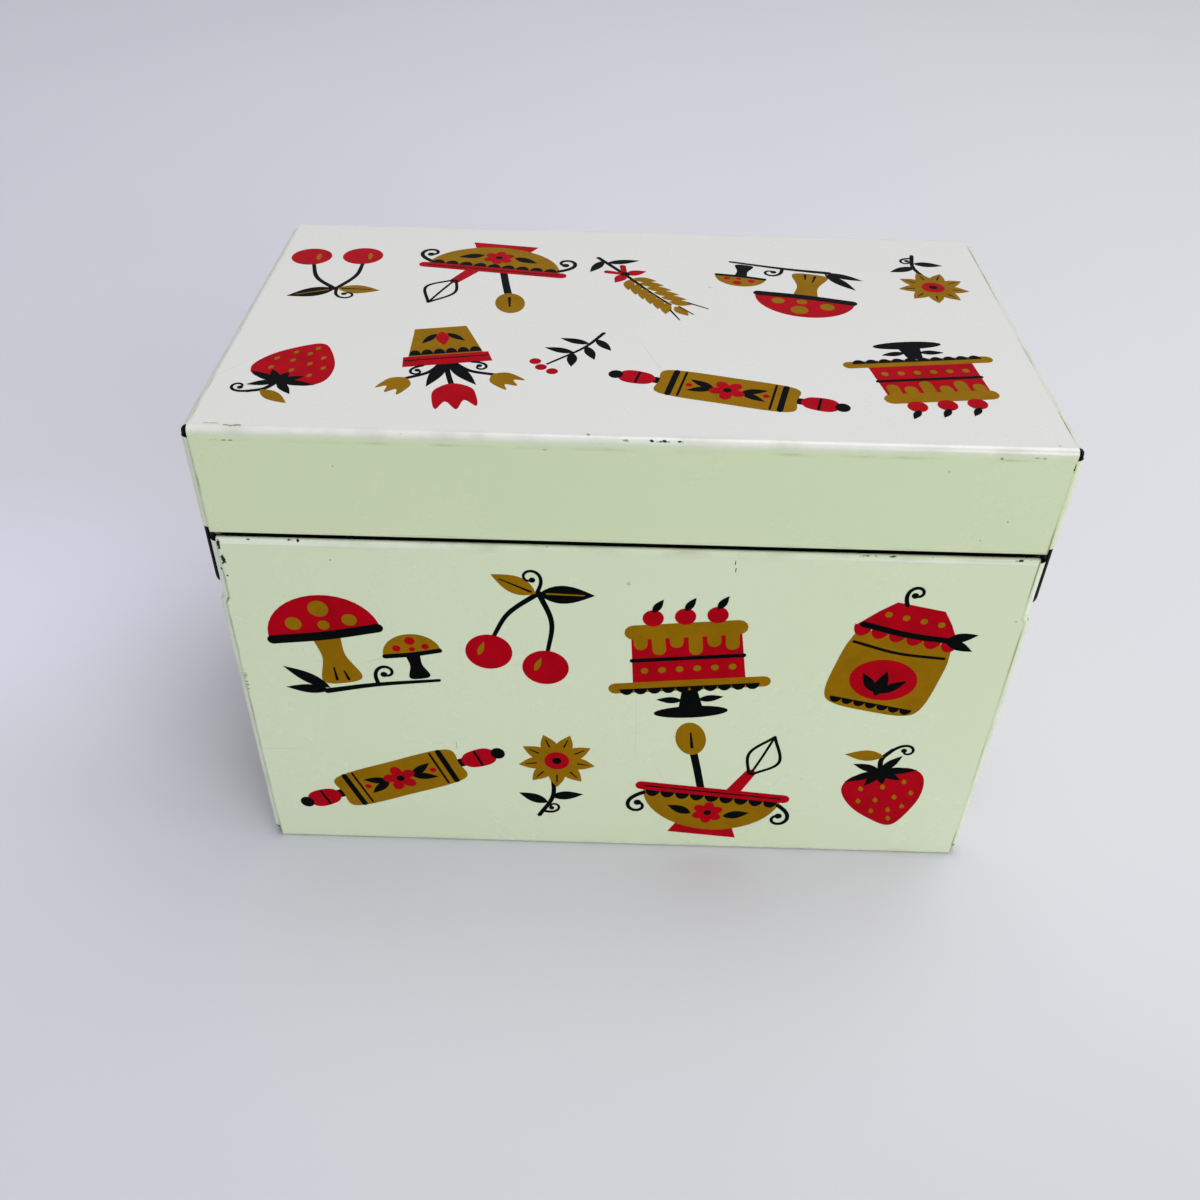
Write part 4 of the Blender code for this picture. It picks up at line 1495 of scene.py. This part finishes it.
def wheat():
    shapes = [stroke(BLACK, [(-1.6, -12.0), (-0.6, -4.0), (0.8, 4.0), (1.4, 9.6)], 0.8, 0.5)]
    for place in range(6):
        y = -1.8 + 2.1 * place
        x = -0.1 + 0.26 * place
        shapes.append(leaf(OCHRE, (x - 0.3, y), (x - 3.0, y + 3.3), 1.9))
        shapes.append(leaf(OCHRE, (x + 0.3, y), (x + 3.2, y + 2.9), 1.9))
    shapes.append(leaf(OCHRE, (1.4, 10.6), (1.9, 14.4), 1.9))
    for x, lean in ((-1.4, -1.6), (0.8, 0.3), (2.8, 2.2)):
        shapes.append(stroke(BLACK, [(x, 11.0), (x + lean * 0.6, 14.6)], 0.35, 0.2))
    shapes.append(leaf(BLACK, (-1.3, -9.4), (-6.4, -6.6), 1.7))
    shapes.append(leaf(BLACK, (-1.4, -10.4), (3.4, -8.4), 1.7))
    for side in (-1, 1):
        shapes.append(leaf(RED, (-0.7, -3.9), (-0.7 + side * 3.6, -2.5), 2.0))
        shapes.append(stroke(RED, [(-0.7, -4.0), (-0.7 + side * 1.8, -6.6)], 0.8, 1.1))
    shapes.append(oval(BLACK, -0.7, -3.9, 0.8, 0.8, 0, 14))
    return shapes


def layer_cake():
    drips = [(-6.4, 2.3), (-3.9, 3.4), (-1.4, 2.2), (1.2, 3.7), (3.8, 2.4), (6.3, 3.1)]
    shapes = [
        oval(BLACK, 0.0, -11.0, 5.4, 1.2),
        polygon(BLACK, [(-1.0, -6.0), (1.0, -6.0), (1.9, -11.0), (-1.9, -11.0)]),
        stroke(OCHRE, [(-10.6, -5.6), (10.6, -5.6)], 2.0),
        polygon(RED, [(-8.0, -4.6), (8.0, -4.6), (7.6, 4.6), (-7.6, 4.6)]),
        *scallops(BLACK, (-10.0, -5.8), (10.0, -5.8), 10, 1.2),
        stroke(BLACK, [(-7.8, -0.4), (7.8, -0.4)], 0.7),
        stroke(OCHRE, [(-7.2, 4.8), (7.2, 4.8)], 2.6),
    ]
    for x, length in drips:
        shapes.append(stroke(OCHRE, [(x, 4.6), (x, 4.8 - length)], 1.9))
    for x in (-4.4, 0.0, 4.4):
        shapes.append(oval(RED, x, 7.2, 1.45, 1.45, 0, 18))
        shapes.append(leaf(BLACK, (x, 8.2), (x + 1.6, 10.4), 1.1))
    shapes += dots(OCHRE, (-6.2, -2.4), (6.2, -2.4), 6, 0.55)
    shapes.append(leaf(BLACK, (-1.2, -8.6), (-4.8, -8.2), 1.2))
    shapes.append(leaf(BLACK, (1.2, -8.6), (4.8, -8.2), 1.2))
    return shapes


def daisy():
    shapes = [
        stroke(BLACK, [(0.0, -1.0), (0.8, -6.0), (-0.6, -11.0)], 0.75),
        leaf(BLACK, (0.5, -6.0), (5.6, -4.4), 2.0),
        leaf(BLACK, (0.3, -7.6), (-4.8, -6.2), 2.0),
    ]
    for place in range(9):
        turn = 2 * pi * place / 9
        tip = (6.2 * cos(turn), 2.6 + 6.2 * sin(turn))
        root = (1.2 * cos(turn), 2.6 + 1.2 * sin(turn))
        shapes.append(leaf(OCHRE, root, tip, 2.7))
        middle = (3.4 * cos(turn), 2.6 + 3.4 * sin(turn))
        vein = (5.0 * cos(turn), 2.6 + 5.0 * sin(turn))
        shapes.append(stroke(BLACK, [middle, vein], 0.3, 0.2))
    shapes.append(oval(RED, 0.0, 2.6, 2.0, 2.0, 0, 20))
    shapes.append(oval(BLACK, 0.0, 2.6, 0.75, 0.75, 0, 14))
    return shapes + tendril(BLACK, -0.3, -9.8, 6.0, -5, 1, 0.55)


def jam_jar():
    glass = [
        (-5.4, 4.6), (-7.2, 2.6), (-7.6, -2.0), (-7.4, -7.4), (-5.6, -9.6), (0.0, -10.0), (5.6, -9.6),
        (7.4, -7.4), (7.6, -2.0), (7.2, 2.6), (5.4, 4.6),
    ]
    return [
        shape(OCHRE, glass, 4),
        stroke(BLACK, [(-6.6, 2.2), (0.0, 1.6), (6.6, 2.2)], 0.5),
        oval(RED, 0.0, -3.7, 4.9, 3.9),
        leaf(BLACK, (0.0, -6.9), (0.0, -1.9), 1.9),
        leaf(BLACK, (-0.3, -6.2), (-3.3, -3.0), 1.5),
        leaf(BLACK, (0.3, -6.2), (3.3, -3.0), 1.5),
        *scallops(BLACK, (-6.2, -8.3), (6.2, -8.3), 7, 1.1),
        *scallops(RED, (-7.6, 5.3), (7.6, 5.3), 6, 1.9),
        polygon(RED, [(-7.6, 4.9), (7.6, 4.9), (5.2, 8.2), (3.4, 10.2), (-3.4, 10.2), (-5.2, 8.2)]),
        *dots(OCHRE, (-3.8, 7.9), (3.8, 7.9), 4, 0.5),
        stroke(BLACK, [(-6.5, 5.5), (0.0, 5.1), (6.5, 5.5)], 1.0),
        leaf(BLACK, (5.4, 5.4), (9.4, 7.4), 1.6),
        leaf(BLACK, (5.4, 5.4), (9.8, 4.4), 1.6),
        *tendril(BLACK, -2.0, 10.0, 6.5, 120, -1, 0.6),
    ]


def strawberry():
    berry = [
        (0.0, 4.6), (-4.4, 5.0), (-6.8, 2.2), (-5.8, -2.6), (-2.6, -7.0), (0.0, -8.8), (2.6, -7.0),
        (5.8, -2.6), (6.8, 2.2), (4.4, 5.0),
    ]
    shapes = [shape(RED, berry, 5)]
    for x, y in (
        (-3.6, 1.6), (0.0, 1.2), (3.6, 1.6), (-4.4, -1.4), (-1.6, -1.8), (1.6, -1.8), (4.4, -1.4),
        (-2.6, -4.4), (0.2, -4.8), (2.6, -4.4), (0.0, -7.0),
    ):
        shapes.append(leaf(OCHRE, (x, y - 0.6), (x, y + 0.7), 0.8))
    for x, y in ((-6.0, 3.0), (-3.0, 1.2), (0.0, 0.9), (3.0, 1.2), (6.0, 3.0), (-4.0, 7.0), (4.0, 7.0)):
        shapes.append(leaf(BLACK, (0.0, 5.2), (x, y + 1.0), 1.6))
    shapes.append(stroke(BLACK, [(0.0, 5.0), (0.6, 8.0), (2.6, 9.8)], 0.9, 0.7))
    shapes.append(leaf(OCHRE, (1.0, 8.6), (-5.0, 10.6), 2.4))
    return shapes + tendril(BLACK, 2.4, 9.6, 7.0, 30, -1, 0.6)


def sprig():
    shapes = [stroke(BLACK, [(-4.6, -5.0), (-1.0, -0.8), (4.8, 3.4)], 0.6, 0.4)]
    for start, end in (
        ((-3.2, -3.2), (-4.8, 0.6)), ((-1.4, -1.2), (-2.0, 3.0)), ((0.8, 0.6), (1.6, 4.6)),
        ((-2.0, -1.9), (2.0, -4.2)), ((0.6, 0.5), (4.6, -1.6)),
    ):
        shapes.append(leaf(BLACK, start, end, 1.5))
    for x, y in ((5.8, 4.2), (4.4, 5.6), (6.4, 2.4)):
        shapes.append(oval(RED, x, y, 0.85, 0.85, 0, 14))
    return shapes


def print_area(name, origin, right, up, layout, sizes, materials, body, slot):
    """Lay motifs on one face of the box as raised ink, each shape a closed sliver."""
    outward = right.cross(up)
    foot = origin - outward * sizes.sunk
    bm = bmesh.new()
    for motif, across, along, scale, turn in layout:
        scale *= sizes.motif_scale
        for place, (ink_of, outline) in enumerate(motif()):
            corners = []
            for x, y in outline:
                flat_x, flat_y = turned(across, along, x * scale, y * scale, radians(turn))
                corners.append(bm.verts.new(foot + (right * flat_x + up * flat_y) * MM))
            face = bm.faces.new(corners)
            face.material_index = ink_of
            raised_part = bmesh.ops.extrude_face_region(bm, geom=[face])["geom"]
            tops = [item for item in raised_part if isinstance(item, bmesh.types.BMVert)]
            thickness = sizes.sunk + sizes.ink + sizes.layer * place
            bmesh.ops.translate(bm, verts=tops, vec=outward * thickness)
    bmesh.ops.recalc_face_normals(bm, faces=bm.faces[:])
    piece = new_piece(name, bm, materials)
    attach(piece, body)
    return piece


TOP_LAYOUT = (
    (layer_cake, -48.0, 19.0, 1.10, 8.0),
    (rolling_pin, -15.0, 24.0, 1.12, -14.0),
    (sprig, 9.0, 12.0, 1.15, 10.0),
    (tulip_pot, 30.0, 17.0, 1.12, 12.0),
    (strawberry, 54.0, 20.0, 0.98, -20.0),
    (daisy, -55.0, -19.0, 1.05, 8.0),
    (mushrooms, -29.0, -14.0, 1.18, -12.0),
    (wheat, -1.0, -15.0, 1.08, 42.0),
    (mixing_bowl, 26.0, -19.0, 1.14, -8.0),
    (cherries, 54.0, -17.0, 1.05, 14.0),
)

BACK_LAYOUT = (
    (mushrooms, -47.0, 51.0, 1.28, 10.0),
    (cherries, -17.0, 56.0, 1.12, -10.0),
    (layer_cake, 11.0, 51.0, 1.22, 6.0),
    (jam_jar, 46.0, 51.0, 1.22, -12.0),
    (rolling_pin, -41.0, 18.0, 1.24, 22.0),
    (daisy, -12.0, 21.0, 1.16, -10.0),
    (mixing_bowl, 18.0, 16.5, 1.20, -6.0),
    (strawberry, 50.0, 18.0, 1.12, 16.0),
)

FRONT_LAYOUT = (
    (tulip_pot, -47.0, 41.0, 1.12, 8.0),
    (strawberry, -19.0, 44.0, 1.02, -12.0),
    (mixing_bowl, 12.0, 41.0, 1.15, 6.0),
    (wheat, 46.0, 42.0, 1.08, -30.0),
    (cherries, -51.0, 13.0, 0.98, 14.0),
    (rolling_pin, -20.0, 14.0, 1.16, -12.0),
    (jam_jar, 16.0, 14.5, 1.04, 8.0),
    (mushrooms, 45.0, 14.0, 1.14, -8.0),
)

END_LAYOUT = (
    (layer_cake, -17.0, 42.0, 1.12, -8.0),
    (daisy, 18.0, 44.0, 1.08, 10.0),
    (mushrooms, -17.0, 14.0, 1.12, 8.0),
    (tulip_pot, 18.0, 15.0, 1.04, -10.0),
)


def print_materials(colours):
    """The three inks, in the order of their numbers."""
    inks = (
        ("ochre_ink", colours.ochre, 0.14), ("red_ink", colours.red, 0.16),
        ("black_ink", colours.black, 0.20),
    )
    return [shared_material(name, ink, name, colour, mottle) for name, colour, mottle in inks]


# Operators

class RECIPEBOX_OT_body(bpy.types.Operator):
    """Make the body's three sheets"""

    bl_idname = "recipe_box.body"
    bl_label = "Body sheets"

    def execute(self, context):
        sizes = context.scene.recipe_box_sheets
        colours = context.scene.recipe_box_colours
        printed = enamel(
            "body_enamel", colours, colours.body_green, BOX["floor"], BOX["rim"], BODY_CHIPS,
            BODY_STAINS, body_dress,
        )
        materials = sheet_materials(printed, colours)
        make_shell(BODY, body_strip, body_end_sheet, sizes, materials)
        return {"FINISHED"}


class RECIPEBOX_OT_lid(bpy.types.Operator):
    """Make the lid's three sheets"""

    bl_idname = "recipe_box.lid"
    bl_label = "Lid sheets"

    def execute(self, context):
        sizes = context.scene.recipe_box_sheets
        colours = context.scene.recipe_box_colours
        printed = enamel(
            "lid_enamel", colours, colours.lid_green, BOX["lid_edge"], BOX["top"], LID_CHIPS,
            LID_STAINS, lid_dress,
        )
        materials = sheet_materials(printed, colours)
        make_shell(LID, lid_strip, lid_end_sheet, sizes, materials)
        return {"FINISHED"}


class RECIPEBOX_OT_rivets(bpy.types.Operator):
    """Finish the two pivot rivets"""

    bl_idname = "recipe_box.rivets"
    bl_label = "Pivot rivets"

    def execute(self, context):
        steel = rivet_steel(context.scene.recipe_box_colours)
        for word, _ in SIDES:
            for slot in frame["nodes"][f"pivot_rivet_{word}"].material_slots:
                slot.material = steel
        return {"FINISHED"}


class RECIPEBOX_OT_ornament(bpy.types.Operator):
    """Print the ornament on the lid's top and the body's four sides"""

    bl_idname = "recipe_box.ornament"
    bl_label = "Printed ornament"

    def execute(self, context):
        sizes = context.scene.recipe_box_print
        inks = print_materials(context.scene.recipe_box_colours)
        half_width, half_depth = BOX["half_width"], BOX["half_depth"]
        x, y, z = Vector((1, 0, 0)), Vector((0, 1, 0)), Vector((0, 0, 1))
        areas = [
            ("print_lid_top", z * BOX["top"], x, y, TOP_LAYOUT, LID, "lid_enamel"),
            ("print_back", y * half_depth, -x, z, BACK_LAYOUT, BODY, "body_enamel"),
            ("print_front", -y * half_depth, x, z, FRONT_LAYOUT, BODY, "body_enamel"),
            ("print_end_right", x * half_width, y, z, END_LAYOUT, BODY, "body_enamel"),
            ("print_end_left", -x * half_width, -y, z, END_LAYOUT, BODY, "body_enamel"),
        ]
        for name, origin, right, up, layout, body, slot in areas:
            print_area(name, origin, right, up, layout, sizes, inks, body, slot)
        return {"FINISHED"}


class RECIPEBOX_OT_stage(bpy.types.Operator):
    """Set up the camera, the floor and the lights"""

    bl_idname = "recipe_box.stage"
    bl_label = "Stage"

    def execute(self, context):
        stage = context.scene.recipe_box_stage
        make_camera(stage)
        make_floor(stage)
        make_world(stage)
        make_lights(stage)
        context.scene.view_settings.view_transform = "Standard"
        return {"FINISHED"}


# Stage: places and sizes in metres, with the sensor in millimetres

SENSOR_WIDTH = 36.0
NEAREST_SEEN = 0.01
FLOOR_ROUND = 64
# Spans of the floor's painted light across it and of its painted shade towards the camera
FLOOR_SIDES = (-0.30, 0.30)
FLOOR_FRONT = (0.02, 0.16)
WASH_CENTRE = (0.145, -0.030, 0.0)
WASH_REACH = (0.085, 0.070, 1.0)
WASH_COVER = 0.8
KEY_PLACE = (-0.40, -0.16, 1.28)
KEY_WIDTH = 1.12
KEY_COLOUR = (1.0, 0.99, 0.985)
FILL_PLACE = (-0.60, 0.78, 0.34)
FILL_WIDTH = 0.62
FILL_COLOUR = (1.0, 1.0, 0.98)
DARKEST = (0.0, 0.0, 0.0, 1.0)
LIGHTEST = (1.0, 1.0, 1.0, 1.0)


def make_camera(stage):
    """The camera that took the photograph, fitted to the box's corners."""
    camera = bpy.data.cameras.new("camera")
    camera.lens = stage.lens
    camera.sensor_width = SENSOR_WIDTH
    camera.clip_start = NEAREST_SEEN
    holder = bpy.data.objects.new("camera", camera)
    holder.location = stage.camera_place
    holder.rotation_euler = stage.camera_turn
    bpy.context.scene.collection.objects.link(holder)
    bpy.context.scene.camera = holder


def make_floor(stage):
    """A wide pale floor with painted light: lighter towards the camera's right and painted darker towards
    the camera.
    """
    bm = bmesh.new()
    bmesh.ops.create_circle(bm, cap_ends=True, segments=FLOOR_ROUND, radius=stage.floor_size / 2)
    material, shader, wiring, position = new_material("floor_paper")
    across, depth, _ = wiring.split(position)
    # Painted light: lighter and less blue towards the camera's right, where the key light stands
    side = wiring.fade(across, *FLOOR_SIDES, 1.0, 0.0)
    mottle = wiring.noise(position, 6.0, 2.0)
    tone = wiring.mix(side, stage.floor_dark, stage.floor_light)
    # Painted shade: darker towards the camera
    tone = wiring.mix(wiring.fade(depth, *FLOOR_FRONT, 0.0, 0.14), tone, DARKEST)
    wash = wiring.patch(position, WASH_CENTRE, WASH_REACH)
    tone = wiring.mix(wiring.times(wash, WASH_COVER), tone, stage.floor_wash)
    tone = wiring.mix(wiring.times(mottle, 0.06), tone, LIGHTEST)
    wiring.put(shader.inputs["Base Color"], tone)
    shader.inputs["Roughness"].default_value = 0.75
    new_piece("floor", bm, [material])


def make_world(stage):
    """Soft light from all round, with the pale backdrop for what looks past the floor."""
    world = bpy.data.worlds.new("studio")
    world.use_nodes = True
    tree = world.node_tree
    sky = tree.nodes["Background"]
    sky.inputs["Color"].default_value = stage.sky
    sky.inputs["Strength"].default_value = stage.sky_strength
    bpy.context.scene.world = world


def add_softbox(name, place, width, watts, colour, spread=pi):
    """A square light that faces the middle of the box."""
    light = bpy.data.lights.new(name, "AREA")
    light.shape = "RECTANGLE"
    light.size = width
    light.size_y = width
    light.energy = watts
    light.color = colour
    light.spread = spread
    holder = bpy.data.objects.new(name, light)
    holder.location = place
    aim = Vector((0.0, 0.0, BOX["top"] / 2)) - Vector(place)
    holder.rotation_euler = aim.to_track_quat("-Z", "Y").to_euler()
    bpy.context.scene.collection.objects.link(holder)


def make_lights(stage):
    """A large softbox overhead, and a smaller gridded one beside the camera."""
    add_softbox("overhead_softbox", KEY_PLACE, KEY_WIDTH, stage.key_watts, KEY_COLOUR)
    add_softbox(
        "camera_softbox", FILL_PLACE, FILL_WIDTH, stage.fill_watts, FILL_COLOUR, stage.fill_spread
    )


class RECIPEBOX_PT_panel(bpy.types.Panel):
    """The box's settings and steps"""

    bl_idname = "RECIPEBOX_PT_panel"
    bl_label = "Recipe Box"
    bl_space_type = "VIEW_3D"
    bl_region_type = "UI"
    bl_category = "Recipe Box"

    def draw(self, context):
        layout = self.layout
        for operator in OPERATORS:
            layout.operator(operator.bl_idname)
        for owner in GROUPS:
            settings = getattr(context.scene, owner)
            box = layout.box()
            for name in settings.__annotations__:
                box.prop(settings, name)


GROUPS = {
    "recipe_box_sheets": RecipeBoxSheets,
    "recipe_box_colours": RecipeBoxColours,
    "recipe_box_print": RecipeBoxPrint,
    "recipe_box_stage": RecipeBoxStage,
}
OPERATORS = (
    RECIPEBOX_OT_body, RECIPEBOX_OT_lid, RECIPEBOX_OT_rivets, RECIPEBOX_OT_ornament,
    RECIPEBOX_OT_stage,
)
CLASSES = (*GROUPS.values(), *OPERATORS, RECIPEBOX_PT_panel)


def register():
    for item in CLASSES:
        bpy.utils.register_class(item)
    for name, group in GROUPS.items():
        setattr(bpy.types.Scene, name, PointerProperty(type=group))


def unregister():
    for name in GROUPS:
        delattr(bpy.types.Scene, name)
    for item in reversed(CLASSES):
        bpy.utils.unregister_class(item)


def main():
    """Make the box and its stage."""
    register()
    bpy.ops.recipe_box.body()
    bpy.ops.recipe_box.lid()
    bpy.ops.recipe_box.rivets()
    bpy.ops.recipe_box.ornament()
    bpy.ops.recipe_box.stage()


if __name__ == "__main__":
    main()
